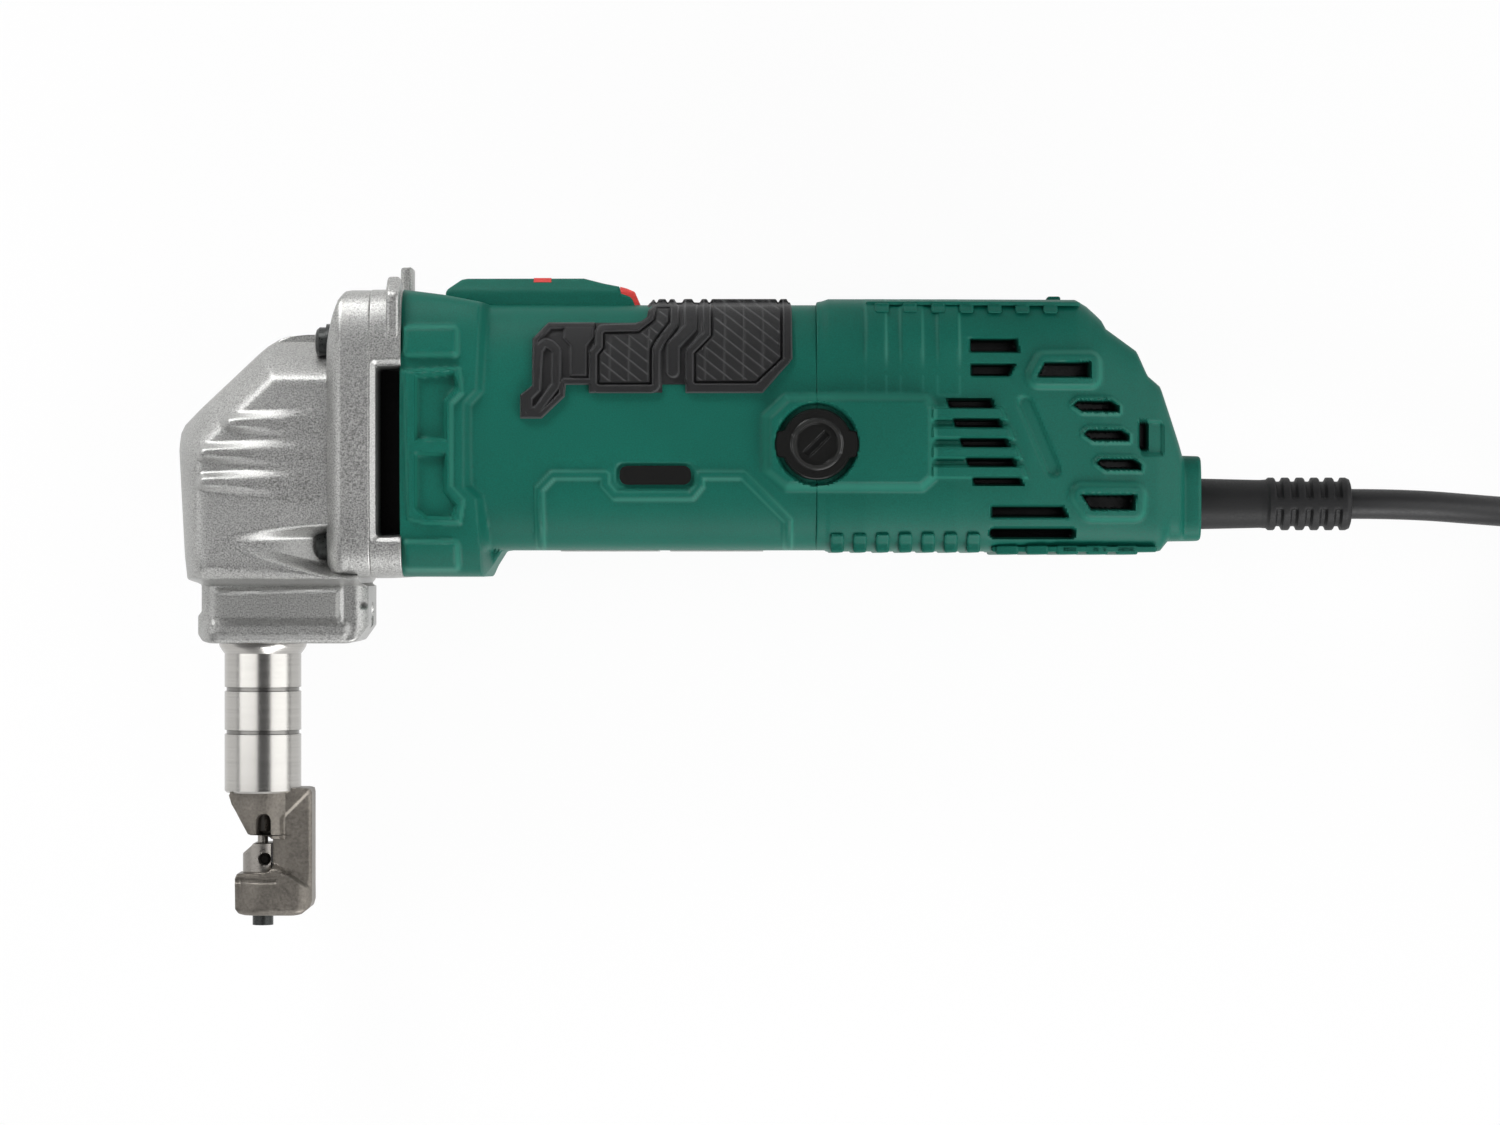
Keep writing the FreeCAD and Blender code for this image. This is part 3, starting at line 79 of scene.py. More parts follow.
def mesh_piece(name, points, quads, marks=None, sharp=38.0):
    """A smooth mesh from points in millimetres and faces of four corners. A triangle has its last
    two corners alike, or its first two once its face has been turned round. Edges sharper than
    the given angle stay sharp."""
    spots = to_metres(points)
    quads = np.asarray(quads, int)
    flipped = quads[:, 0] == quads[:, 1]
    quads[flipped] = quads[flipped][:, [1, 2, 3, 3]]
    flat = quads.ravel()
    mesh = bpy.data.meshes.new(name)
    mesh.vertices.add(len(spots))
    mesh.vertices.foreach_set("co", spots.ravel())
    keep = quads[:, 2] != quads[:, 3]
    lengths = np.where(keep, 4, 3)
    use = np.ones(quads.shape, bool)
    use[~keep, 3] = False
    loops = flat.reshape(-1, 4)[use]
    mesh.loops.add(len(loops))
    mesh.loops.foreach_set("vertex_index", loops.astype(np.int32))
    mesh.polygons.add(len(quads))
    starts = np.concatenate([[0], np.cumsum(lengths)[:-1]])
    mesh.polygons.foreach_set("loop_start", starts.astype(np.int32))
    mesh.polygons.foreach_set("use_smooth", np.ones(len(quads), bool))
    mesh.update(calc_edges=True)
    mesh.validate()
    mesh.set_sharp_from_angle(angle=math.radians(sharp))
    for mark, values in (marks or {}).items():
        layer = mesh.attributes.new(mark, "FLOAT", "POINT")
        layer.data.foreach_set("value", np.asarray(values, np.float32).ravel())
    obj = bpy.data.objects.new(name, mesh)
    bpy.context.collection.objects.link(obj)
    return obj


def grid_quads(rows, columns, closed=True, start=0):
    """Faces of a grid of points, its columns joined into loops where closed."""
    r, c = np.meshgrid(np.arange(rows - 1), np.arange(columns if closed else columns - 1),
                       indexing="ij")
    nxt = (c + 1) % columns
    return np.stack([r * columns + c, r * columns + nxt, (r + 1) * columns + nxt,
                     (r + 1) * columns + c], -1).reshape(-1, 4) + start


def tube_mesh(loops, marks=None):
    """Points and faces of a closed skin through a stack of loops, each end closed by a fan."""
    rows, columns, _ = loops.shape
    points = loops.reshape(-1, 3)
    quads = [grid_quads(rows, columns)]
    middles = np.stack([loops[0].mean(0), loops[-1].mean(0)])
    k = np.arange(columns)
    nxt = (k + 1) % columns
    first = np.stack([nxt, k, np.full(columns, len(points)), np.full(columns, len(points))], -1)
    last = (rows - 1) * columns
    end = np.stack([last + k, last + nxt, np.full(columns, len(points) + 1),
                    np.full(columns, len(points) + 1)], -1)
    out = {}
    for mark, values in (marks or {}).items():
        out[mark] = np.concatenate([values.ravel(), [values[0].mean(), values[-1].mean()]])
    return np.concatenate([points, middles]), np.concatenate(quads + [first, end]), out


def volume_of(points, quads):
    """Six times the volume inside a closed skin, negative where its faces point inwards."""
    a, b, c, d = (points[quads[:, k]] for k in range(4))
    return sum(np.einsum("ij,ij->i", a, np.cross(one, two)).sum() for one, two in ((b, c), (c, d)))


def joined(name, parts, sharp=38.0):
    """One piece out of several closed skins, each turned to face outwards."""
    points, quads, marks, count = [], [], {}, 0
    names = {mark for part in parts for mark in part[2]}
    for spots, faces, layer in parts:
        points.append(spots)
        quads.append((faces if volume_of(spots, faces) > 0 else faces[:, ::-1]) + count)
        count += len(spots)
        for mark in names:
            marks.setdefault(mark, []).append(layer.get(mark, np.zeros(len(spots))))
    marks = {mark: np.concatenate(values) for mark, values in marks.items()}
    return mesh_piece(name, np.concatenate(points), np.concatenate(quads), marks, sharp)


# ------------------------------------------------------------------ flat shapes and ramps

def ramp(distance, width):
    """1 inside an edge and 0 outside, a smooth step as wide as width across the edge."""
    t = np.clip(0.5 - distance / width, 0.0, 1.0)
    return t * t * (3.0 - 2.0 * t)


def segment(x, y, a, b):
    """Distance from the segment a-b."""
    dx, dy = b[0] - a[0], b[1] - a[1]
    t = np.clip(((x - a[0]) * dx + (y - a[1]) * dy) / (dx * dx + dy * dy + 1e-12), 0, 1)
    return np.hypot(x - a[0] - t * dx, y - a[1] - t * dy)


def path(x, y, points):
    """Distance from an open run of segments."""
    return np.minimum.reduce([segment(x, y, a, b) for a, b in zip(points, points[1:])])


def inside(x, y, points):
    """Signed distance from a closed outline, negative inside."""
    near = path(x, y, list(points) + [points[0]])
    odd = np.zeros(np.shape(x), bool)
    for (x0, y0), (x1, y1) in zip(points, list(points[1:]) + [points[0]]):
        if y0 != y1:
            crosses = ((y0 > y) != (y1 > y)) & (x < (x1 - x0) * (y - y0) / (y1 - y0) + x0)
            odd ^= crosses
    return np.where(odd, -near, near)


def block(x, y, x0, x1, y0, y1, corner=0.6):
    """Signed distance from a rectangle with round corners."""
    dx = np.abs(x - (x0 + x1) / 2) - (x1 - x0) / 2 + corner
    dy = np.abs(y - (y0 + y1) / 2) - (y1 - y0) / 2 + corner
    return np.hypot(np.maximum(dx, 0), np.maximum(dy, 0)) + np.minimum(np.maximum(dx, dy), 0) - corner


def level(value):
    """The same height or half width everywhere."""
    return lambda x, y=None: value + 0 * x


def along(points):
    """A function of x through given points, straight between them."""
    xs, ys = zip(*points)
    return lambda x: np.interp(x, xs, ys)


def stations(*runs):
    """Stations along the axis: runs of (start, end, step)."""
    out = []
    for start, end, step in runs:
        out.append(np.linspace(start, end, max(2, int(round((end - start) / step)) + 1)))
    return np.unique(np.concatenate(out).round(4))


def lathe(profile, at, axis, steps=72, wave=None):
    """A profile of (along, radius) pairs turned round an axis. wave(along, angle) may change the
    radius."""
    profile = np.asarray(profile, float)
    angle = np.linspace(0, 2 * np.pi, steps, endpoint=False)
    run, radius = profile[:, :1], profile[:, 1:]
    if wave is not None:
        radius = radius + wave(np.broadcast_to(run, (len(profile), steps)), angle[None, :])
    a = radius * np.cos(angle)[None, :]
    b = radius * np.sin(angle)[None, :]
    run = np.broadcast_to(run, a.shape)
    order = {"x": (run, a, b), "y": (a, run, b), "z": (a, b, run)}[axis]
    return tube_mesh(np.stack(order, -1) + np.asarray(at, float))


def densely(profile, step):
    """More points along a profile, corners kept."""
    out = [profile[0]]
    for (a, b), (c, d) in zip(profile, profile[1:]):
        count = max(1, int(math.hypot(c - a, d - b) / step))
        out += [(a + (c - a) * k / count, b + (d - b) * k / count) for k in range(1, count + 1)]
    return out


# ------------------------------------------------------------------ materials

def colour(code):
    """Linear colour of a six figure hex code."""
    parts = [int(code[k:k + 2], 16) / 255 for k in (0, 2, 4)]
    return tuple(c / 12.92 if c <= 0.04045 else ((c + 0.055) / 1.055) ** 2.4 for c in parts) + (1.0,)


def math_node(nodes, links, operation, one, two):
    """A Math node on two sockets or numbers."""
    node = nodes.new("ShaderNodeMath")
    node.operation = operation
    for socket, value in zip(node.inputs, (one, two)):
        if isinstance(value, float):
            socket.default_value = value
        else:
            links.new(value, socket)
    return node.outputs[0]


def map_range(nodes, links, source, start, end, low, high):
    """A Map Range node: start to end becomes low to high."""
    node = nodes.new("ShaderNodeMapRange")
    node.inputs["From Min"].default_value = start
    node.inputs["From Max"].default_value = end
    node.inputs["To Min"].default_value = low
    node.inputs["To Max"].default_value = high
    links.new(source, node.inputs["Value"])
    return node.outputs[0]


def finish(name, base, spread=0.12, grain=1800.0, bump=0.1, rough=0.5, rough_spread=0.08, metal=0.0,
           specular=0.5, highlight_tone=None, cloud=60.0, cloud_spread=0.06, stretch=None, depth=0.00006):
    """A surface with fine grain in colour, roughness and height, slow clouds of tone, a painted highlight
    on bevels and rims and painted shade in openings and grooves. Two marks on a mesh say where each is
    painted."""
    material = bpy.data.materials.new(name)
    material.use_nodes = True
    nodes, links = material.node_tree.nodes, material.node_tree.links
    nodes.clear()
    out = nodes.new("ShaderNodeOutputMaterial")
    shader = nodes.new("ShaderNodeBsdfPrincipled")
    links.new(shader.outputs[0], out.inputs[0])
    shader.inputs["Metallic"].default_value = metal
    shader.inputs["Specular IOR Level"].default_value = specular
    place = nodes.new("ShaderNodeTexCoord")
    mapping = nodes.new("ShaderNodeMapping")
    links.new(place.outputs["Object"], mapping.inputs[0])
    if stretch:
        mapping.inputs["Scale"].default_value = stretch

    def noise(scale, detail):
        node = nodes.new("ShaderNodeTexNoise")
        node.inputs["Scale"].default_value = scale
        node.inputs["Detail"].default_value = detail
        links.new(mapping.outputs[0], node.inputs["Vector"])
        return node.outputs["Fac"]

    def spread_of(source, middle, share):
        return map_range(nodes, links, source, 0.3, 0.7, middle - share, middle + share)

    fine, slow = noise(grain, 2.0), noise(cloud, 3.0)
    tone = math_node(nodes, links, "MULTIPLY", spread_of(fine, 1, spread), spread_of(slow, 1, cloud_spread))
    tint = nodes.new("ShaderNodeMix")
    tint.data_type = "RGBA"
    tint.blend_type = "MULTIPLY"
    tint.inputs["Factor"].default_value = 1.0
    tint.inputs["A"].default_value = colour(base)
    grey = nodes.new("ShaderNodeCombineColor")
    for k in range(3):
        links.new(tone, grey.inputs[k])
    links.new(grey.outputs[0], tint.inputs["B"])
    result = tint.outputs["Result"]
    # Painted highlight in the lighter colour along bevels and rims, and painted shade, near black, in
    # openings and grooves.
    for mark, shade in (("edge", highlight_tone), ("pit", "050505")):
        if shade is None:
            continue
        layer = nodes.new("ShaderNodeAttribute")
        layer.attribute_name = mark
        mix = nodes.new("ShaderNodeMix")
        mix.data_type = "RGBA"
        links.new(layer.outputs["Fac"], mix.inputs["Factor"])
        links.new(result, mix.inputs["A"])
        mix.inputs["B"].default_value = colour(shade)
        result = mix.outputs["Result"]
    links.new(result, shader.inputs["Base Color"])
    links.new(spread_of(fine, rough, rough_spread), shader.inputs["Roughness"])
    if bump:
        height = nodes.new("ShaderNodeBump")
        height.inputs["Strength"].default_value = bump
        height.inputs["Distance"].default_value = depth
        links.new(fine, height.inputs["Height"])
        links.new(height.outputs[0], shader.inputs["Normal"])
    return material


# The second, lighter colour that some finishes below are given is a painted highlight for bevels and rims.
FINISH = {
    "cast_aluminium": finish("cast_aluminium_sparkle", "a6a6a4", spread=0.36, grain=2600, bump=0.6,
                             rough=0.42, rough_spread=0.12, metal=0.85, highlight_tone="b2b2b0", cloud=45,
                             cloud_spread=0.07),
    "green_nylon": finish("green_glass_nylon", "065a4c", spread=0.15, grain=3000, bump=0.4, rough=0.5,
                          highlight_tone="3a8775", cloud=35, cloud_spread=0.06, specular=0.22),
    "black_rubber": finish("black_grip_rubber", "171718", spread=0.14, grain=2400, bump=0.45,
                           rough=0.58, highlight_tone="69696a", cloud=90, cloud_spread=0.08, specular=0.35),
    "red_plastic": finish("red_satin_plastic", "cf3a34", spread=0.05, grain=2600, bump=0.2,
                          rough=0.42, highlight_tone="e2655d"),
    "black_plastic": finish("black_satin_plastic", "121211", spread=0.06, grain=1500, bump=0.015,
                            rough=0.24, rough_spread=0.03, highlight_tone="353534"),
    "turned_steel": finish("turned_neck_steel", "b3b1ad", spread=0.05, grain=900, bump=0.0,
                           rough=0.24, rough_spread=0.03, metal=1.0, stretch=(0.02, 2.5, 0.02),
                           cloud=60, cloud_spread=0.04),
    "dark_steel": finish("hardened_holder_steel", "757069", spread=0.2, grain=1500, bump=0.5,
                         rough=0.46, metal=0.75, highlight_tone="a39d96", cloud=120, cloud_spread=0.18),
    "tool_steel": finish("ground_tool_steel", "8d8984", spread=0.1, grain=1200, bump=0.2, rough=0.34,
                         metal=0.95, cloud=150, cloud_spread=0.12),
    "gear_steel": finish("machined_gear_steel", "8b8b8b", grain=1200, metal=1.0, rough=0.35),
    "bearing_steel": finish("polished_bearing_steel", "b4b4b6", grain=900, metal=1.0, rough=0.18,
                            bump=0.05),
    "black_steel": finish("black_oxide_screws", "3c3e3d", spread=0.15, grain=1600, bump=0.2,
                          rough=0.33, metal=0.6, highlight_tone="555755"),
    "spring_steel": finish("drawn_spring_wire", "96969a", metal=1.0, rough=0.3, stretch=(1, 1, 9)),
    "bronze": finish("sintered_bronze", "9a7340", metal=0.9, rough=0.45, grain=2600, bump=0.4),
    "brass_sheet": finish("stamped_brass", "c3a04f", metal=1.0, rough=0.3, grain=1100),
    "copper": finish("enamelled_copper", "a8562f", metal=0.8, rough=0.35, grain=900,
                     stretch=(0.2, 3, 3)),
    "lamination": finish("stacked_laminations", "5b5b5e", metal=0.8, rough=0.5, grain=1400,
                         stretch=(4, 0.2, 0.2)),
    "carbon": finish("pressed_carbon", "2a2a2a", rough=0.6, grain=2400, bump=0.3),
    "yellow_film": finish("capacitor_case", "c2ad3d", rough=0.4, grain=1500),
    "pale_film": finish("blank_film_label", "b9bab8", spread=0.03, grain=900, bump=0.05, rough=0.35),
    "black_cord": finish("rubber_lead_sheath", "1d1d1e", spread=0.1, grain=1600, bump=0.3, rough=0.5,
                         cloud=60, cloud_spread=0.1, specular=0.4),
    "black_strap": finish("woven_tie_strap", "232325", spread=0.25, grain=1500, bump=0.6, rough=0.8,
                          stretch=(1, 0.25, 1)),
    "nickel": finish("nickel_plug_pins", "bdb9b0", metal=1.0, rough=0.2, grain=800, bump=0.05),
}
SLOT_OF = {row["node"]: row["material_slot"] for row in frame["record"]["subparts"]}


def dress(obj, slot):
    """Give a piece its finish."""
    obj.data.materials.clear()
    obj.data.materials.append(FINISH[slot])


for node_name, node_object in frame["nodes"].items():
    dress(node_object, SLOT_OF[node_name])


def settle(obj, body, nodes):
    """A new piece that stands for one or more nodes of a body, in the first one's finish."""
    slot = SLOT_OF[nodes[0]]
    dress(obj, slot)
    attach(obj, body)
    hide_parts(*nodes)
    return obj


# ------------------------------------------------------------------ camera, floor and light

VIEW_MIDDLE = (121.75, -28.75)
CAMERA_HEIGHT = 1100.0
VIEW_HALF_WIDTH = 187.5


def camera():
    """A camera over the left side that sees VIEW_HALF_WIDTH each way at the motor axis."""
    data = bpy.data.cameras.new("camera")
    data.sensor_width = 36.0
    data.sensor_fit = "HORIZONTAL"
    data.lens = data.sensor_width / 2 * CAMERA_HEIGHT / VIEW_HALF_WIDTH
    obj = bpy.data.objects.new("camera", data)
    bpy.context.collection.objects.link(obj)
    obj.location = to_metres([*VIEW_MIDDLE, CAMERA_HEIGHT])
    data.clip_end = 20
    bpy.context.scene.camera = obj


def lamp(name, spot, aim, size, watts, tall, spread=180.0):
    """A soft box, size metres wide and tall metres high, at spot and turned to aim."""
    data = bpy.data.lights.new(name, "AREA")
    data.energy = watts
    data.shape = "RECTANGLE"
    data.size = size
    data.size_y = tall
    data.spread = math.radians(spread)
    obj = bpy.data.objects.new(name, data)
    bpy.context.collection.objects.link(obj)
    obj.location = spot
    heading = np.asarray(aim, float) - np.asarray(spot, float)
    obj.rotation_euler = Vector(heading).to_track_quat("-Z", "Y").to_euler()


def seen_directly(nodes, links):
    """1 for rays that come straight from the camera, or by way of metal or glass."""
    rays = nodes.new("ShaderNodeLightPath").outputs
    result = rays["Is Camera Ray"]
    for kind in ("Is Glossy Ray", "Is Transmission Ray"):
        result = math_node(nodes, links, "MAXIMUM", result, rays[kind])
    return result


def mixed(nodes, links, share, first, second, out):
    """Joins two shaders at the output: the second has the given share."""
    mix = nodes.new("ShaderNodeMixShader")
    for socket, source in zip(mix.inputs, (share, first, second)):
        links.new(source, socket)
    links.new(mix.outputs[0], out.inputs[0])


def floor_plane():
    """A pale floor that keeps the object's shadow: mostly white itself, the rest takes the light."""
    size, white_share, pale = 6.0, 0.94, 0.86
    mesh = bpy.data.meshes.new("floor")
    mesh.from_pydata([(-size, -size, 0), (size, -size, 0), (size, size, 0), (-size, size, 0)], [],
                     [(0, 1, 2, 3)])
    floor = bpy.data.objects.new("floor", mesh)
    bpy.context.collection.objects.link(floor)
    material = bpy.data.materials.new("pale_floor")
    material.use_nodes = True
    nodes, links = material.node_tree.nodes, material.node_tree.links
    nodes.clear()
    out = nodes.new("ShaderNodeOutputMaterial")
    diffuse = nodes.new("ShaderNodeBsdfDiffuse")
    diffuse.inputs[0].default_value = (pale, pale, pale, 1)
    glow = nodes.new("ShaderNodeEmission")
    glow.inputs[0].default_value = (1, 1, 1, 1)
    share = math_node(nodes, links, "MULTIPLY", seen_directly(nodes, links), white_share)
    mixed(nodes, links, share, diffuse.outputs[0], glow.outputs[0], out)
    mesh.materials.append(material)


def sky_dome():
    """A sky graded from the horizon up, with a white band low down for what is seen directly."""
    world = bpy.data.worlds.new("studio")
    bpy.context.scene.world = world
    world.use_nodes = True
    nodes, links = world.node_tree.nodes, world.node_tree.links
    nodes.clear()
    out = nodes.new("ShaderNodeOutputWorld")
    sky = nodes.new("ShaderNodeBackground")
    plain = nodes.new("ShaderNodeBackground")
    plain.inputs[0].default_value = (1, 1, 1, 1)
    place = nodes.new("ShaderNodeTexCoord")
    split = nodes.new("ShaderNodeSeparateXYZ")
    links.new(place.outputs["Generated"], split.inputs[0])
    grade = nodes.new("ShaderNodeValToRGB")
    grade.color_ramp.elements[0].position = 0.0
    grade.color_ramp.elements[0].color = (0.62, 0.62, 0.63, 1)
    grade.color_ramp.elements[1].position = 1.0
    grade.color_ramp.elements[1].color = (0.15, 0.15, 0.153, 1)
    middle = grade.color_ramp.elements.new(0.75)
    middle.color = (0.22, 0.22, 0.225, 1)
    links.new(split.outputs["Z"], grade.inputs[0])
    links.new(grade.outputs[0], sky.inputs[0])
    sky.inputs[1].default_value = 0.8
    band_top, band_end = 0.12, 0.3
    low = map_range(nodes, links, split.outputs["Z"], band_top, band_end, 1.0, 0.0)
    share = math_node(nodes, links, "MULTIPLY", seen_directly(nodes, links), low)
    mixed(nodes, links, share, sky.outputs[0], plain.outputs[0], out)


def lamps():
    """Five soft boxes: a large one below the tool, a tall one on each side, a small one at the nose
    and a slim one over the console."""
    lamp("low_softbox", (0.5, -0.95, 0.6), (0.1, 0.0, 0.03), 1.1, 12.8, 0.6)
    lamp("left_softbox", (-0.85, 0.0, 0.95), (-0.1, 0.0, 0.03), 0.22, 2.6, 1.3)
    lamp("nose_softbox", (-0.3, 0.42, 0.3), (-0.12, 0.03, 0.03), 0.3, 0.2, 0.2, 44.0)
    lamp("right_softbox", (0.80, 0.1, 0.65), (0.0, 0.0, 0.03), 0.6, 4.5, 1.1)
    lamp("high_softbox", (0.0, 0.95, 0.35), (0.0, 0.0, 0.03), 1.5, 0.5, 0.15)


camera()
floor_plane()
sky_dome()
lamps()
bpy.context.scene.view_settings.view_transform = "Standard"


# ------------------------------------------------------------------ skins with relief

def loop_shares(side, flat, corner_up, corner_out):
    """Shares (up, out) round a rectangle with round corners, from the middle of the top. Each side
    wall has side points, and the top and base have flat points each."""
    bend = np.linspace(0, np.pi / 2, 6)[1:-1]
    top = np.linspace(0, 1 - corner_out, max(2, flat // 2 + 1))
    wall = np.linspace(1 - corner_up, -1 + corner_up, side)
    up = np.concatenate([np.ones(len(top)), 1 - corner_up + corner_up * np.cos(bend), wall,
                         -1 + corner_up - corner_up * np.sin(bend), -np.ones(len(top))])
    out = np.concatenate([top, 1 - corner_out + corner_out * np.sin(bend), np.ones(side),
                          1 - corner_out + corner_out * np.cos(bend), top[::-1]])
    up = np.concatenate([up, up[-2:0:-1]])
    out = np.concatenate([out, -out[-2:0:-1]])
    return up, out


def slab(xs, top, base, half, side=110, flat=16, corner=1.2, relief=None, crown=None,
         ends=(0.0, 0.0), axis="x", one_side=0):
    """A skin through upright loops. At each station a rectangle with round corners reaches from
    base to top; a point's distance from the middle plane is its share of half(x, y). Relief lifts
    the side faces outwards, crown lifts the top. Rounded ends draw the last loops inwards along a
    quarter circle. A skin of one side stops just short of the middle plane."""
    xs = np.asarray(xs, float)
    inset = np.zeros(len(xs))
    turn = np.linspace(0, np.pi / 2, 5)
    if ends[0]:
        keep = xs > xs[0] + ends[0]
        rim = xs[0] + ends[0] * (1 - np.sin(turn[::-1]))
        xs, inset = (np.concatenate([rim, xs[keep]]),
                     np.concatenate([ends[0] * (1 - np.cos(turn[::-1])), inset[keep]]))
    if ends[1]:
        keep = xs < xs[-1] - ends[1]
        rim = xs[-1] - ends[1] * (1 - np.sin(turn))
        xs, inset = (np.concatenate([xs[keep], rim]),
                     np.concatenate([inset[keep], ends[1] * (1 - np.cos(turn))]))
    xs, inset = xs[:, None], inset[:, None]
    high, low = top(xs) - inset, base(xs) + inset
    tall = (high - low) / 2
    up, out = loop_shares(side, flat, min(0.3, corner / float(tall.mean())), corner / 28)
    y = (high + low) / 2 + tall * up[None, :]
    x = np.broadcast_to(xs, y.shape)
    reach = half(x, y) - inset
    z = reach * out[None, :]
    marks = {}
    if relief is not None:
        lift, marks = relief(x, y)
        z = z + lift * np.sign(out)[None, :] * np.clip((np.abs(out) - 0.93) / 0.05, 0, 1)[None, :]
    if crown is not None:
        y = y + crown(x, z) * np.clip((up - 0.93) / 0.05, 0, 1)[None, :]
    if one_side:
        z = one_side * np.maximum(one_side * z, 0.04)
    loops = np.stack([x, y, z] if axis == "x" else [y, x, z], -1)
    return tube_mesh(loops, marks)


def relief_of(*features):
    """Adds up features on a side face: (shape, height, bevel, shade). A shape gives the signed
    distance from its edge, and a height may be a function of place. A painted highlight is strongest
    half way up a bevel, and painted shade, in the share that the fourth entry gives, darkens what lies deep
    inside an opening."""
    def relief(x, y):
        lift, edge, pit = np.zeros_like(x), np.zeros_like(x), np.zeros_like(x)
        for shape, height, bevel, depth in features:
            share = ramp(shape(x, y), bevel)
            rise = height(x, y) if callable(height) else height + 0 * x
            lift = lift + rise * share
            # Strength of the painted highlight on each bevel.
            highlight_strength = np.where(rise > 0, np.minimum(rise, 0.42), 0.25)
            edge = np.maximum(edge, 4 * share * (1 - share) * highlight_strength)
            pit = np.maximum(pit, depth * share)
        return lift, {"edge": edge, "pit": pit}
    return relief


def swapped(relief):
    """A relief of (x, y) for a skin whose stations run along y."""
    return lambda y, x: relief(x, y)


def shifted(skin, offset):
    """A skin moved as a whole."""
    points, quads, marks = skin
    return points + np.asarray(offset, float), quads, marks


def poly(*points):
    """A closed outline of straight sides."""
    return lambda x, y: inside(x, y, list(points))


def rect(x0, x1, y0, y1, corner=0.5):
    """An upright rectangle with round corners."""
    return lambda x, y: block(x, y, x0, x1, y0, y1, corner)


def line(width, *points):
    """A bar of the given width along an open run of points, round at its ends."""
    return lambda x, y: path(x, y, list(points)) - width / 2


def disc(cx, cy, radius):
    """A circle."""
    return lambda x, y: np.hypot(x - cx, y - cy) - radius


def minus(one, *others):
    """The first shape without the others."""
    return lambda x, y: np.maximum.reduce([one(x, y)] + [-other(x, y) for other in others])


def rounded(y, top, base, wide, flat, power):
    """Half width of a section between an ellipse and a rectangle, flat at its top and base."""
    share = np.clip(np.abs((y - (top + base) / 2) / ((top - base) / 2)), 0, 1)
    return flat + (wide - flat) * (1 - share ** power) ** (1 / power)


def soft(distance, width):
    """The positive part of a distance, with a soft start."""
    return width * np.log1p(np.exp(np.clip(distance / width, -30, 30)))


# ------------------------------------------------------------------ gear head

PLATEAU = [(-13.2, -1.9), (5.6, 16.1), (40, 16.1), (40, -32.3), (22, -32.3), (-11.9, -29.9),
           (-13.2, -26.2)]


def head_half(x, y):
    """Half width of the casing: a flat plateau, facets that fall away from it towards nose and top
    and grow steeper on the way, and the narrower clamp block below."""
    away = inside(x, y, PLATEAU)
    fall = 1.15 * soft(away - 0.3, 0.75) + 0.75 * soft(away - 5.0, 0.8)
    fall = fall + 0.7 * soft(-13.6 - x, 0.5)
    clamp = 14.3 - 1.1 * soft(-11.5 - x, 0.6) - 0.9 * soft(x - 25.0, 0.5)
    blend = np.clip((-32.6 - y) / 2.0, 0, 1)
    blend = blend * blend * (3 - 2 * blend)
    return (HEAD_HALF - np.minimum(fall, 14.0)) * (1 - blend) + clamp * blend


def fins(x, y):
    """Three cooling fins: blunt at the nose, wider and lower towards the flange."""
    lift, edge = np.zeros_like(x), np.zeros_like(x)
    for x0, y0, y1 in ((-4.6, 5.4, 4.6), (-11.0, -2.0, -2.6), (-11.0, -9.1, -9.8)):
        run = np.clip((x - x0) / (21.0 - x0), 0, 1)
        across = y - (y0 + (y1 - y0) * run)
        share = ramp(np.hypot(np.minimum(x - x0, 0), across) - (1.5 + 1.9 * run), 2.2 + 3.2 * run)
        lift += 1.9 * (1 - run) ** 0.9 * share
        # A painted highlight along each fin's bevel, fading towards the flange.
        edge = np.maximum(edge, 1.2 * share * (1 - share) * (1 - run))
    return lift, edge


def scoop(x, y):
    """The hollow that leads a screwdriver to the lower screw, deeper towards the flange."""
    run = np.clip((x + 3.7) / 23.0, 0, 1)
    across = np.abs(y - (-23.7 - 2.4 * run)) - (0.2 + 4.9 * run ** 0.7)
    share = ramp(np.maximum(across, -3.7 - x), 3.6)
    # A faint painted highlight along the hollow's sloping wall.
    return -(0.8 + 6.4 * run ** 1.6) * share, 0.3 * share * (1 - share)


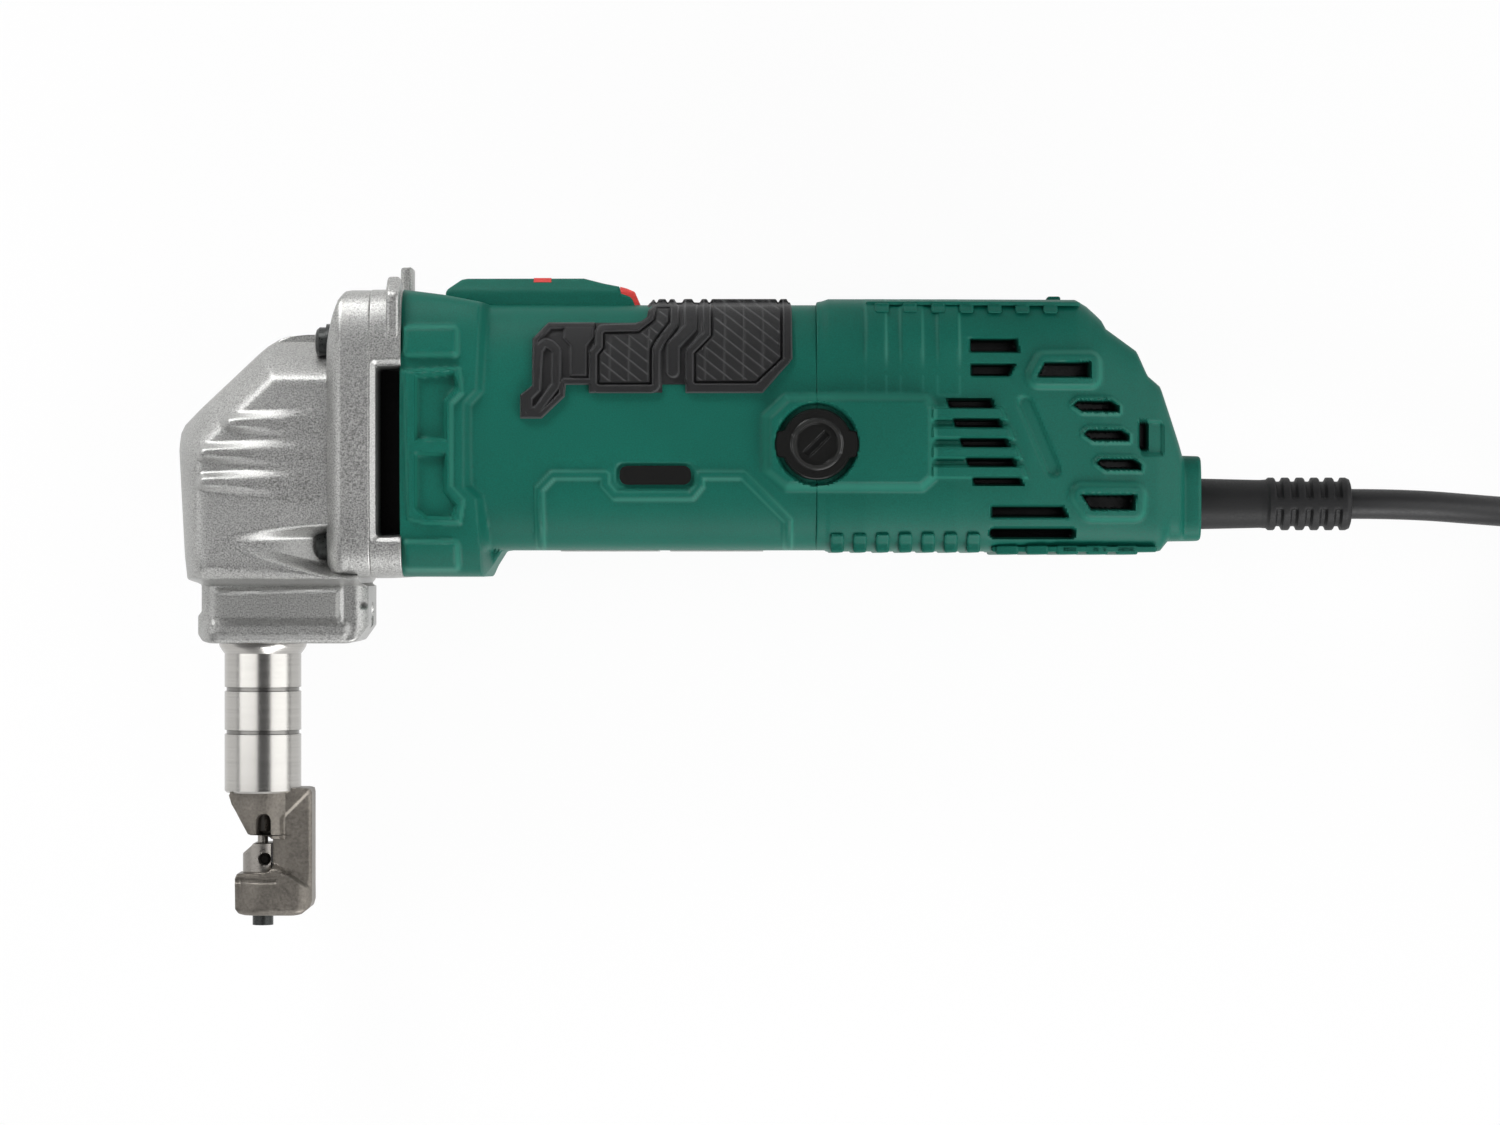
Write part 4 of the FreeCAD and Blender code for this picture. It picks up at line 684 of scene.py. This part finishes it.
def gear_head():
    """The casing with its clamp block as a skin upright along y, and its flange as one along x."""
    front = along([(-48.75, 12.5), (-48.2, 13.8), (-46.5, 15), (-42.0, 15), (-40.9, 14), (-34.0, 14),
                   (-32.9, 16.4), (-1.5, 18.6), (3.2, 18.5), (5.2, 17.6), (24.6, -3.1), (26.2, -5.5),
                   (27.3, -9.0), (27.4, -12.0)])
    back = along([(-48.75, 23.0), (-48.2, 24.6), (-44.4, 27.4), (-34.6, 27.4), (-34.0, 26.0),
                  (27.4, 26.0)])
    # The beads carry a painted highlight on their bevels, and the small round hole is darkened with painted
    # shade.
    beads = relief_of(
        (line(1.0, (-9.4, -36.0), (20.6, -35.2), (20.6, -42.9)), 0.5, 1.3, 0),
        (rect(-13.4, 22.5, -47.2, -43.4, 1.6), 0.7, 2.6, 0),
        (disc(26.4, -39.2, 0.8), -0.8, 0.7, 0.8))

    def relief(y, x):
        lift, marks = beads(x, y)
        for part in (fins, scoop):
            more, edge = part(x, y)
            lift, marks["edge"] = lift + more, np.maximum(marks["edge"], edge)
        return lift, marks

    def lock_hole(y, z):
        return -3.3 * ramp(np.hypot(y + 41.8, z) - 2.8, 0.9) * (y < -34)

    def flange_half(x, y):
        """Rounder towards the front edge."""
        return ring_half(x, y, FLANGE_TOP) - 4.2 * np.clip((22.4 - x) / 3.8, 0, 1) ** 1.8

    ys = stations((-48.75, -33.0, 0.4), (-33.0, 27.4, 0.36))
    body = slab(ys, back, lambda y: -front(y), lambda y, x: head_half(x, y), side=120, flat=60,
                corner=2.0, relief=relief, crown=lock_hole, axis="y", ends=(1.0, 0))
    flange_top = along([(FLANGE_FRONT, 25.0), (19.3, 28.6), (20.0, 31.6), (21.3, 35.3), (22.9, 37.5),
                        (24.5, FLANGE_TOP), (30, FLANGE_TOP)])
    flange_base = along([(FLANGE_FRONT, -29.5), (19.5, -31.2), (20.9, -32.3), (23, FLANGE_BASE),
                         (30, FLANGE_BASE)])
    flange = slab(stations((FLANGE_FRONT, RING_FRONT, 0.3)), flange_top, flange_base, flange_half,
                  side=150, flat=24, corner=1.6, ends=(0, 0.3))
    settle(joined("gear_head_casing_skin", [body, flange]), "housing", ["gear_head_casing"])


def ring_half(x, y, top=RING_TOP):
    """Half width of the flange and the ring, the same at every x."""
    return rounded(y, top, FLANGE_BASE, FLANGE_HALF, 19, 4.0)


def cover_ring():
    """The ring behind the flange, with an exhaust opening on each side and two lugs on top."""
    # Painted shade fills the deep part of each exhaust opening, and a painted highlight runs round its
    # bevels.
    exhaust = relief_of((rect(30.0, 38.2, -23.3, 20.0, 1.2), -1.0, 1.6, 0),
                        (rect(31.2, 38.2, -22.2, 18.6, 0.8), -7.0, 0.8, 1.0))
    top = along([(RING_FRONT, FLANGE_TOP), (36.9, RING_TOP)])
    base = along([(RING_FRONT, FLANGE_BASE), (30.2, -32.6), (34.0, -32.6), (36.9, -32.4)])
    skins = [slab(stations((RING_FRONT, 36.9, 0.3)), top, base, ring_half, side=170, flat=24,
                  corner=1.4, relief=exhaust, ends=(0.3, 0.15))]
    for high, z, wide, taper in ((41.0, 25.5, 7.0, 1.6), (46.0, -17.5, 3.5, 0.0)):
        lug = slab(stations((33.3, 36.5, 0.3)), level(high), level(25.5),
                   lambda x, y, w=wide, t=taper: w - t * soft(y - 37.0, 0.5) + 0 * x,
                   side=40, flat=14, corner=1.5, ends=(0.9, 0.9))
        skins.append(shifted(lug, (0, 0, z)))
    settle(joined("gear_cover_ring_skin", skins), "housing", ["gear_cover_ring"])


def flange_screws():
    """Four round headed screws with washers in front of the flange."""
    profile = densely([(0.2, 4.5), (-0.9, 4.5), (-0.95, 3.7), (-2.6, 3.7), (-3.3, 3.1), (-3.6, 2.2),
                       (-3.6, 1.9), (-2.2, 1.8)], 0.35)
    skins = [lathe(profile, (19.0, y, z), "x", 36) for y in (25.2, -24.5) for z in (22, -22)]
    settle(joined("flange_screws_skin", skins, 30), "housing", ["flange_screws"])


# ------------------------------------------------------------------ motor barrel and grip

FLARE_EDGE = [(30, 45), (57.4, 45), (57.0, 33.8), (56, 13.1), (53, 9.8), (53, -10.2), (56, -12.9),
              (57.2, -26), (57.2, -45), (30, -45)]


def brush_seat(outline):
    """Features of a brush cap's raised seat, sunk round the cap."""
    return [(outline, 3.7, 2.8, 0), (disc(SHELL_SEAM, 0, CAP_DISH), -2.9, 0.6, 0)]


def barrel_half(x, y):
    """Half width of the barrel, wider in front of the flare's contour."""
    flare = ramp(inside(x, y, FLARE_EDGE), 2.6)
    plain = rounded(y, BARREL_TOP, BARREL_BASE, BARREL_HALF, 13, 3.0)
    wide = rounded(y, 38.4, -32.4, 31.3, 17, 3.4)
    return plain * (1 - flare) + wide * flare


def barrel():
    """The barrel as one skin along x with its side relief, and the console on top as another."""
    top = along([(BARREL_FRONT, RING_TOP), (46.6, 36.8), (56, 34.9), (60, BARREL_TOP),
                 (SHELL_SEAM, BARREL_TOP)])
    base = along([(BARREL_FRONT, -32.25), (56.5, -32.25), (60.5, -25.9), (62, BARREL_BASE),
                  (SHELL_SEAM, BARREL_BASE)])
    frame_line = [(70.4, -24.9), (70.4, -11), (73.7, -7.5), (86.5, -7.5), (86.5, -9.9), (88.8, -12.5),
                  (107.5, -12.5), (109.6, -9.9), (109.6, -7.5), (120.1, -7.5), (131.1, -18.6),
                  (131.1, -24.9)]
    panel = poly((37.7, 17.8), (51.3, 18.5), (52, 12.5), (49.3, 9.8), (49.3, -10.2), (52.3, -13.6),
                 (51.3, -19.2), (42.7, -19.2), (38.7, -18.2))
    recess = poly((40.7, 16.5), (49.7, 17.1), (50.7, 13.8), (47.7, 10.5), (47.7, -11.6), (50.3, -14.9),
                  (49.3, -17.9), (43.3, -17.9), (40.7, -15.6))
    boss = poly((125.6, 6.6), (130.6, 11.4), (150, 11.4), (150, -10.4), (130.6, -10.4), (125.6, -6.4))
    # Each of these features carries a painted highlight on its bevel.
    details = relief_of(
        (rect(37.6, 50.6, 21.6, 28.6, 1.0), 2.2, 1.8, 0),
        (rect(37.6, 50.6, -30.6, -23.6, 1.0), 1.9, 1.8, 0),
        (panel, 1.5, 1.1, 0), (minus(recess, rect(39, 48.6, -2.5, 1.1, 0.3)), -2.2, 1.0, 0),
        (line(1.9, *frame_line), 1.0, 1.1, 0), (rect(89.2, 108.2, -10.4, -4.6, 1.6), -0.7, 0.8, 0),
        *brush_seat(boss))
    body = slab(stations((BARREL_FRONT, 62, 0.4), (62, SHELL_SEAM, 0.5)), top, base, barrel_half,
                side=142, flat=20, corner=1.6, relief=details, ends=(0.3, 0.25))
    console_top = along([(46.7, 38.3), (50.6, 41.1), (52, 41.35), (80.75, 41.4), (85.65, 40.1),
                         (89.6, 39.3), (90.0, 37.6), (92.6, 36.6), (93.4, 34.6), (94.6, 32.4),
                         (95.5, 31.0)])

    def groove(x, z):
        return -3.2 * ramp(block(x, z, 60.5, 81.5, -8.3, 8.3, 1.5), 0.7)

    console = slab(stations((46.7, 95.5, 0.55)), console_top, level(28.0),
                   lambda x, y: 15.8 - 0.75 * soft(y - 38.4, 0.4), side=30, flat=66, corner=1.0,
                   crown=groove, ends=(0.8, 0))
    settle(joined("motor_barrel_skin", [body, console]), "housing", ["motor_barrel"])


def console_insert():
    """Red insert round the rear slope of the console, with a red mark across each of its edges."""
    top = along([(89.7, 39.35), (91.4, 38.85), (93.35, 38.0), (94.4, 35.6), (95.4, 33.2), (95.7, 31.6)])
    skins = [slab(stations((89.7, 95.7, 0.25)), top, level(30.0),
                  lambda x, y: 15.4 - 0.75 * soft(y - 38.0, 0.4), side=30, flat=30, corner=0.8,
                  ends=(0.2, 0.5))]
    for side in (1, -1):
        points, quads, marks = slab(stations((68.4, 72.7, 0.25)), level(41.5), level(40.4), level(1.0),
                                    side=8, flat=10, corner=0.15)
        reach = 15.95 - 0.75 * soft(points[:, 1] - 38.4, 0.4)
        points[:, 2] = side * (8.9 + (points[:, 2] + 1.0) / 2.0 * (reach - 8.9))
        skins.append((points, quads, marks))
    settle(joined("console_insert_skin", skins), "housing", ["console_insert"])


GRIP = [(65.7, 12.1), (68.6, 14.4), (68.6, 25.9), (72.4, 30), (95.2, 30), (96.8, 31.3), (96.8, 32.8),
        (98.6, 34.4), (98.6, 45), (131.9, 45), (132.2, 20.8), (124.9, 12.4), (105.9, 12.4), (105.9, 14.4),
        (100.6, 14.4), (100.6, 12.4), (82.4, 12.4), (82.4, 14.4), (77, 14.4), (76.8, 11.6), (71.1, 6.2),
        (65.7, 6.2)]


def grip():
    """Rubber skin: it stands proud of the barrel inside its outline and dives under it outside.
    Rims, strips and pads stand on a lower web, with upright and slanting lines across the pads."""
    slot = [(72.7, 23.6), (73.7, 22.6), (73.7, 14.7), (69.4, 9), (68.6, 9), (68.6, 11.1), (70.6, 13.1),
            (71.1, 22.6), (71.9, 23.9)]
    funnel = poly((76.5, 28.8), (83.7, 28.8), (83.7, 26.4), (81.9, 24.1), (81.9, 16.7), (78.1, 16.7),
                  (78.1, 24.1), (76.3, 25.9))
    pads = [poly((86.3, 27), (94.7, 27.2), (98.6, 30.3), (99.1, 33.4), (101.9, 33.4), (101.9, 30),
                 (98.8, 25.9), (97.5, 23.4), (97.5, 14.9), (85, 14.9), (85, 21.8), (86.3, 23.4)),
            poly((112.6, 38), (129.3, 38), (129.3, 21.1), (123.1, 15.2), (108.5, 15.2), (108.5, 22.1),
                 (112.6, 26.4))]
    strip = line(2.9, (107.2, 40), (107.2, 28.6), (103.0, 24.2), (103.0, 17.8))
    rim, pitch, slant_pitch, slope = 1.3, 4.65, 3.0, 0.8

    def half(x, y):
        """Just proud of the barrel inside the grip's outline, and below its skin elsewhere."""
        return barrel_half(x, y) - 1.6 + 2.0 * ramp(inside(x, y, GRIP), 0.8)

    def relief(x, y):
        raised = np.maximum.reduce([
            ramp(np.abs(inside(x, y, slot) - 0.9) - 1.0, 0.6), ramp(funnel(x, y), 0.6),
            ramp(np.abs(inside(x, y, GRIP) + 0.9) - 0.7, 0.6) * ((x < 84) | (x > 106)),
            *[ramp(np.abs(pad(x, y) - 1.45) - 0.9, 0.5) for pad in pads],
            ramp(strip(x, y), 0.6)])
        filled = np.maximum.reduce([ramp(pad(x, y), 0.5) for pad in pads])
        lift = rim * np.maximum(raised, 0.55 * filled)
        # A painted highlight on the flanks of rims and strips.
        edge = 2.2 * raised * (1 - raised)
        upright = np.abs(((x - 87.6) / pitch + 0.5) % 1.0 - 0.5) * pitch
        slanted = np.abs(((slope * x + y) / slant_pitch) % 1.0 - 0.5) * slant_pitch / math.hypot(slope, 1)
        # Painted highlight on the pads between their grooved lines; the lines themselves stay dark as
        # painted shade.
        highlight_tone = np.maximum(0.3 * ramp(upright - 0.1, 0.5), 0.65 * ramp(slanted - 0.1, 0.5))
        for pad in pads:
            inner = ramp(pad(x, y) + 0.5, 0.4)
            lift = lift - 0.3 * inner * ramp(np.minimum(upright, slanted) - 0.15, 0.5)
            edge = np.maximum(edge, inner * highlight_tone)
        return lift, {"edge": edge}

    def crown(x, z):
        ridges = [(96.2, 98.3), (99.0, 101.1), (101.8, 103.3), (105.2, 107.7), (109.6, 111.3),
                  (112.1, 128.4), (129.0, 131.0)]
        share = np.maximum.reduce([ramp(np.abs(x - (a + b) / 2) - (b - a) / 2, 0.6) for a, b in ridges])
        return (0.85 * share - 0.2) * np.clip((24.0 - np.abs(z)) / 1.5, 0, 1)

    def top(x):
        proud = 0.95 * ramp(97.0 - x, 1.6) - 1.4 * ramp(x - 97.0, 2.0) - 2.2 * ramp(132.0 - x, 0.8)
        return BARREL_TOP + proud

    skin = slab(stations((64.5, 133, 0.28)), top, level(4.6), half, side=130, flat=30, corner=1.4,
                relief=relief, crown=crown)
    settle(joined("rubber_grip_skin", [skin]), "housing", ["rubber_grip"])


# ------------------------------------------------------------------ rear shells

rear_top = along([(SHELL_SEAM, 35.2), (141, 36.2), (202, 36.2), (205, 34.4), (208.5, 30.6), (209.2, 28.8),
                  (217, 23.25), (219.65, 17.2), (223, 14.5), (228.8, -2.25), (CORD_END, -2.4)])
rear_base = along([(SHELL_SEAM, BARREL_BASE), (140.5, BARREL_BASE), (141, -26.0), (223.2, -26.0),
                   (225.25, -23.5), (CORD_END, -23.4)])
rear_wide = along([(SHELL_SEAM, BARREL_HALF), (150, BARREL_HALF), (172, 27.8), (190, 25.8), (208, 22.8),
                   (222, 18.9), (228.0, 15.8), (229.2, 12.8), (CORD_END, 12.5)])
rear_crest = along([(SHELL_SEAM, 35.6), (202, 36.2), (217, 26.0), (223, 17.0), (228.8, -2.0)])


def rear_half(x, y):
    """Half width of the rear shells: narrowing towards the cord, flat over half their width."""
    wide = rear_wide(x)
    crest = np.where(x > 228.6, -2.0, rear_crest(x))
    return rounded(y, np.maximum(crest, rear_top(x)), rear_base(x), wide, 0.48 * wide, 3.2)


def frame_of(points, rim):
    """Features of an opening with a raised frame rim wide round it, both from one outline."""
    shape = poly(*points)
    return [(lambda x, y: shape(x, y) - rim, 0.55 * rim + 0.35, 0.5 * rim + 0.5, 0), opening(shape)]


def opening(shape):
    """The feature of an opening through a shell, its inside darkened with painted shade."""
    return shape, -5.5, 0.7, 1.0


def rear_shell(side):
    """Half of the rear housing: one skin cut at the middle plane, and small blocks for its teeth."""
    boss = poly((120, 11.4), (146, 11.5), (164.8, 11.5), (166.2, 9.2), (166.2, -8.2), (163.6, -10.5),
                (120, -10.4))
    bands = [(rect(mid - 2.6, mid + 2.6, 12.0, 40.0, 0.2), lambda x, y: 0.75 * ramp(21.5 - y, 9.0), 0.8, 0)
             for mid in (152.4, 161.2, 170.2)]
    group = poly((169.8, 11), (180.6, 11), (188.3, -9.7), (176.6, -9.7))
    bars = [poly((x0, high), (x1, high), (x1 + 1.3, high - 2.9), (x0 + 1.4, high - 2.9))
            for x0, x1, high in ((163.9, 183.0, 9.0), (164.9, 184.8, 4.3), (164.9, 186.6, -0.5),
                                 (163.9, 188.2, -5.2))]
    vents = [poly((175.6, 25.8), (186.9, 25.8), (187.4, 22.8), (175.6, 22.8)),
             poly((175.8, 19.6), (186.4, 19.6), (185.0, 16.9), (175.8, 16.9)),
             poly((180.9, -15.1), (198.4, -15.1), (199.6, -17.6), (180.9, -17.6)),
             rect(180.5, 201.5, -22.6, -20.4, 1.0), minus(group, *bars)]
    # The vents and the gaps between the bars are openings painted dark with painted shade; raised features
    # carry a painted highlight on their bevels.
    features = brush_seat(boss) + bands + [opening(vent) for vent in vents]
    features += [(line(3.4, (188.9, 10.2), (195.8, -5.9)), -1.1, 0.9, 0)]
    features += [(minus(bar, boss), 2.3, 1.0, 0) for bar in bars]
    features += frame_of([(193.8, 20.0), (204.9, 20.2), (204.9, 16.7), (192.1, 16.7)], 2.6)
    features += frame_of([(203, -12.2), (216.2, -12.2), (215.9, -15.7), (205.3, -15.7)], 2.6)
    for x, y in ((201, 10.7), (203.6, 3.6), (206.7, -3.5)):
        features += frame_of([(x + 1.0, y), (x + 9.2, y), (x + 10.9, y - 1.2), (x + 10.9, y - 2.3),
                              (x + 2.0, y - 2.3), (x, y - 0.9)], 0.9)
    # The slot by the cord is painted dark inside with painted shade.
    features += [(rect(217.4, 223.3, -2.2, 5.8, 0.8), -1.2, 0.8, 0),
                 (rect(217.4, 219.4, -1.0, 5.8, 0.4), -3.0, 0.6, 1.0)]
    # The screw holes on this side are darkened a little with painted shade.
    if side < 0:
        features += [(disc(x, y, 3.9), lambda x, y: 16.9 - rear_half(x, y), 0.6, 0.25)
                     for x, y in ((163, 31), (144, -19.5), (203, -21), (203.5, 22))]
    skins = [slab(stations((SHELL_SEAM, 228.8, 0.5), (228.8, CORD_END, 0.35)), rear_top, rear_base,
                  rear_half, side=142, flat=32, corner=2.2, relief=relief_of(*features),
                  ends=(0.3, 0.8), one_side=side)]
    blocks = [(150.0, 203.0, 34.2, 35.2, 23.3)]
    blocks += [(x, x + 3.6, 32.3, 34.8, 25.7) for x in np.arange(152.2, 196, 6.9)]
    blocks += [(x, x + 3.3, -26.3, -21.7, 25.7) for x in np.arange(141.4, 176, 5.57)]
    blocks += [(x, x + 5.6, -26.8, -24.6, 21.0) for x in np.arange(182.0, 218, 7.4)]
    blocks += [(195.8, 199.2, 34.0, 37.6, 2.6), (181.0, 222.0, -26.2, -24.8, 20.5)]
    for x0, x1, y0, y1, wide in blocks:
        skins.append(slab(stations((x0, x1, 0.8)), level(y1), level(y0),
                          lambda x, y, w=wide: np.minimum(w, rear_half(x, np.clip(y, -24, 34)) + 1.2),
                          side=8, flat=6, corner=0.7, ends=(0.6, 0.6), one_side=side))
    name = "rear_shell_left" if side > 0 else "rear_shell_right"
    settle(joined(name + "_skin", skins), "housing", [name])


# ------------------------------------------------------------------ neck and die

def neck():
    """Turned steel: a tapered collar and the tube with its two index grooves."""
    collar = densely([(-48.9, 9.6), (-48.9, 10.9), (-49.6, 10.8), (-50.6, 10.2), (-51.2, 9.75),
                      (-51.4, 9.6), (-51.4, 9.56)], 0.4)
    settle(joined("neck_collar_skin", [lathe(collar, (0, 0, 0), "y", 96)], 30), "housing", ["neck_collar"])
    profile = [(-49.0, 9.3), (-51.4, TUBE_RADIUS)]
    for y in INDEX_GROOVES:
        profile += [(y + 0.55, TUBE_RADIUS), (y + 0.4, 9.05), (y - 0.4, 9.05), (y - 0.55, TUBE_RADIUS)]
    profile += [(-85.6, TUBE_RADIUS), (-86.1, 9.1), (-86.1, 8.0)]
    points, quads, _ = lathe(densely(profile, 0.6), (0, 0, 0), "y", 120)
    # Painted shade darkens the two index grooves.
    grooves = np.maximum.reduce([ramp(np.abs(points[:, 1] - y) - 0.45, 0.3) for y in INDEX_GROOVES])
    tube = joined("neck_tube_skin", [(points, quads, {"pit": 0.75 * grooves})], 30)
    settle(tube, "die_carrier", ["neck_tube"])


def die_holder():
    """One forging: the hood over the punch, the column behind the throat and the cup of the die."""
    front = along([(-116.6, 4.4), (-116.2, 5.6), (-115.0, 6.4), (-107.4, 6.5), (-106.2, 5.9),
                   (-105.7, -2.2), (-104.5, -2.9), (-97.2, -2.9), (-96.6, -1.5), (-96.4, 2.8),
                   (-88.9, 7.2), (-86.6, 7.9), (-86.2, 7.6)])
    back = along([(-116.6, 8.4), (-116.2, 10.2), (-114.6, 12.2), (-113.0, 12.7), (-86.0, 12.7),
                  (-85.2, 12.4), (-84.9, 11.6)])

    def half(y, x):
        """Round hood and cup in front, and a flat column between them, one flowing into the other."""
        hood = np.maximum(np.sqrt(np.clip(8.5 ** 2 - x ** 2, 1, None)), 5.9)
        bend = np.clip(0.3 - x, 0, None) ** 2 + 1.7 * np.clip(x - 8.6, 0, None) ** 2
        cup = np.maximum(np.sqrt(np.clip(7.4 ** 2 - bend, 1, None)), 5.2)
        column = 5.4 - 0.9 * soft(x - 12.2, 0.2) - 0.35 * soft(6.2 - x, 0.4)
        over = ramp(x - 5.6 - np.clip(y + 92.2, 0, 9), 1.6) * (y > -97.5)
        under = ramp(x - 3.4 - 1.5 * np.clip(-103.8 - y, 0, 20), 1.6) * ramp(y + 104.4, 1.6)
        share = np.maximum(over, under)
        full = np.where(y > -100, hood, cup) - 1.2 * soft(-115.6 - y, 0.3)
        return column * (1 - share) + full * share

    # The shallow groove at the cup's foot is darkened a little with painted shade, and bevels carry a
    # painted highlight.
    cut = relief_of((line(3.0, (1.0, -92.9), (1.0, -98.5)), -7.2, 0.6, 0),
                    (rect(-7, 4.2, -108.4, -107.2, 0.3), -0.5, 0.5, 0.2))
    body = slab(stations((-116.6, -84.9, 0.24)), back, lambda y: -front(y), half, side=80, flat=16,
                corner=1.2, relief=swapped(cut), axis="y", ends=(0.5, 0.3))
    settle(joined("die_holder_skin", [body], 45), "die_carrier", ["die_holder"])


def die():
    """The round die with its slanting front, its cross hole and a fine groove near its foot."""
    front = along([(-108.1, 4.9), (-101.4, 4.9), (-99.2, 2.3), (-98.6, 1.9)])
    # Painted shade darkens the cross hole and the fine groove, and bevels carry a painted highlight.
    marks = relief_of((disc(0.9, -102.6, 1.35), -2.2, 0.5, 0.9),
                      (rect(-6, 3, -107.0, -106.2, 0.2), -0.4, 0.4, 0.3))

    def half(y, x):
        return np.sqrt(np.clip(5.0 ** 2 - x ** 2, 0.3, None))

    body = slab(stations((-108.1, -98.6, 0.22)), level(2.5), lambda y: -front(y), half, side=44,
                flat=14, corner=0.6, relief=swapped(marks), axis="y", ends=(0.2, 0.3))
    settle(joined("die_skin", [body], 40), "die_carrier", ["die"])


def boot():
    """Cord boot: a sleeve with five grooves, left whole along two strips."""
    def wave(run, angle):
        lift = np.zeros_like(run + angle)
        for k in range(5):
            lift = lift - 1.0 * ramp(np.abs(run - (253.6 + 3.65 * k)) - 0.75, 0.6)
        return lift * np.clip((np.abs(np.cos(angle)) * 6.0 - 1.1) / 0.5, 0, 1)

    profile = densely([(230.0, 6.2), (CORD_END, 6.35), (249.0, 6.0), (250.6, 6.1), (251.2, 6.6),
                       (270.4, 6.6), (271.3, 6.2), (BOOT_END, 5.4), (BOOT_END, 3.9)], 0.3)
    skin = joined("cord_boot_skin", [lathe(profile, (0, CORD_AXIS, 0), "x", 96, wave)])
    return settle(skin, "housing", ["cord_boot"])


# ------------------------------------------------------------------ brush caps, plates and inserts

def brush_caps():
    """Black screw caps: a dished disc with two ears, a ring and a screwdriver slot."""
    def cap(side):
        share = np.linspace(0.0, 1.0, 100)[:, None]
        angle = np.linspace(0, 2 * np.pi, 220, endpoint=False)[None, :]
        from_ear = np.abs((angle + np.pi / 2) % np.pi - np.pi / 2)
        r = share * (8.8 + 1.6 * ramp(8.8 * from_ear - 3.0, 1.2))
        x, y = r * np.cos(angle), r * np.sin(angle)
        slot = block(x * math.cos(math.pi / 4) + y * math.sin(math.pi / 4),
                     -x * math.sin(math.pi / 4) + y * math.cos(math.pi / 4), -3.5, 3.5, -0.9, 0.9, 0.2)
        height = 2.0 + 0.5 * ramp(np.abs(r - 5.6) - 0.55, 0.5) - 0.5 * ramp(r - 5.0, 0.4)
        height = height - 0.9 * ramp(slot, 0.6) - 1.2 * (share > 0.985) - 0.35 * ramp(0.955 - share, 0.03)
        height[-1] = -1.0
        z = side * (30.4 + height)
        # A painted highlight on the raised ring, and painted shade in the slot.
        marks = {"edge": 0.5 * ramp(np.abs(r - 5.6) - 0.5, 0.6), "pit": 0.6 * ramp(slot, 0.5)}
        return tube_mesh(np.stack([SHELL_SEAM + x, y, z], -1), marks)

    settle(joined("brush_caps_skin", [cap(1), cap(-1)], 30), "housing", ["brush_caps"])


def plate():
    """Blank nameplate: a black plate with round corners in its recess."""
    def bend(x):
        """How far the round corners draw in the plate's top and base."""
        near = np.clip(1.9 - np.minimum(x - 90.0, 107.4 - x), 0, 1.9)
        return 1.9 - np.sqrt(1.9 ** 2 - near ** 2)

    skin = slab(stations((90.0, 92.0, 0.08), (92.0, 105.4, 0.4), (105.4, 107.4, 0.08)),
                lambda x: -5.2 - bend(x), lambda x: -9.8 + bend(x), level(0.45), side=16, flat=6,
                corner=0.3)
    settle(joined("blank_plate_skin", [shifted(skin, (0, 0, 28.5))]), "housing", ["blank_plate"])


# ------------------------------------------------------------------ cord

def cord(sleeve):
    """The lead as one curve: it leaves the boot, sinks to the floor, runs into nine put-away turns
    and on to the plug. Each turn keeps to its lane for a while and then eases into the next one,
    a lead's thickness further in, out or up."""
    coil_radius, cx, cy = 41.5, 379.0, -70.0
    low = FLOOR + 4.95
    points = [(271.0, CORD_AXIS, 0), (285.6, CORD_AXIS, 0), (306.6, -15.6, -7.5), (325.6, -16.7, -20.5),
              (344.6, -17.0, low), (cx - 14, -16.9, low)]
    offsets = (11.6, 4.1, -3.4, -10.9)
    lanes = [(offset, low) for offset in offsets]
    lanes += [(offset, low + 2 * CORD_RADIUS) for offset in offsets[::-1]]
    lanes += [(offsets[0], low + 4 * CORD_RADIUS)]
    steps = 16
    turns = len(lanes) + 0.25
    for k in range(1, int(turns * steps) + 1):
        turn = k / steps
        lane = min(int(turn), len(lanes) - 1)
        share = np.clip((turn - lane - 0.4) / 0.55, 0, 1)
        share = share * share * (3 - 2 * share)
        after = lanes[min(lane + 1, len(lanes) - 1)]
        offset = lanes[lane][0] * (1 - share) + after[0] * share
        height = lanes[lane][1] * (1 - share) + after[1] * share
        angle = np.pi / 2 - 2 * np.pi * turn
        reach = coil_radius + offset
        points.append((cx + reach * np.cos(angle), cy + reach * np.sin(angle), height))
    points += [(cx + 52.9, cy - 12, FLOOR + 19.6), (cx + 52.6, cy - 28, FLOOR + 18.0),
               (cx + 52.0, cy - 46, FLOOR + 11.0), (cx + 52.0, cy - 64, FLOOR + 11.0)]
    data = bpy.data.curves.new("cord", "CURVE")
    data.dimensions = "3D"
    spline = data.splines.new("NURBS")
    spline.points.add(len(points) - 1)
    spots = np.concatenate([to_metres(points), np.ones((len(points), 1))], 1)
    spline.points.foreach_set("co", spots.ravel())
    spline.order_u = 3
    spline.use_endpoint_u = True
    spline.resolution_u = 6
    data.bevel_depth = CORD_RADIUS / 1000
    data.bevel_resolution = 6
    data.use_fill_caps = True
    obj = bpy.data.objects.new("cord", data)
    bpy.context.collection.objects.link(obj)
    settle(obj, "housing", ["cord_tube", "cord_coil", "cord_tail"])


gear_head()
cover_ring()
flange_screws()
barrel()
console_insert()
grip()
rear_shell(1)
rear_shell(-1)
brush_caps()
plate()
neck()
die_holder()
die()
cord(boot())
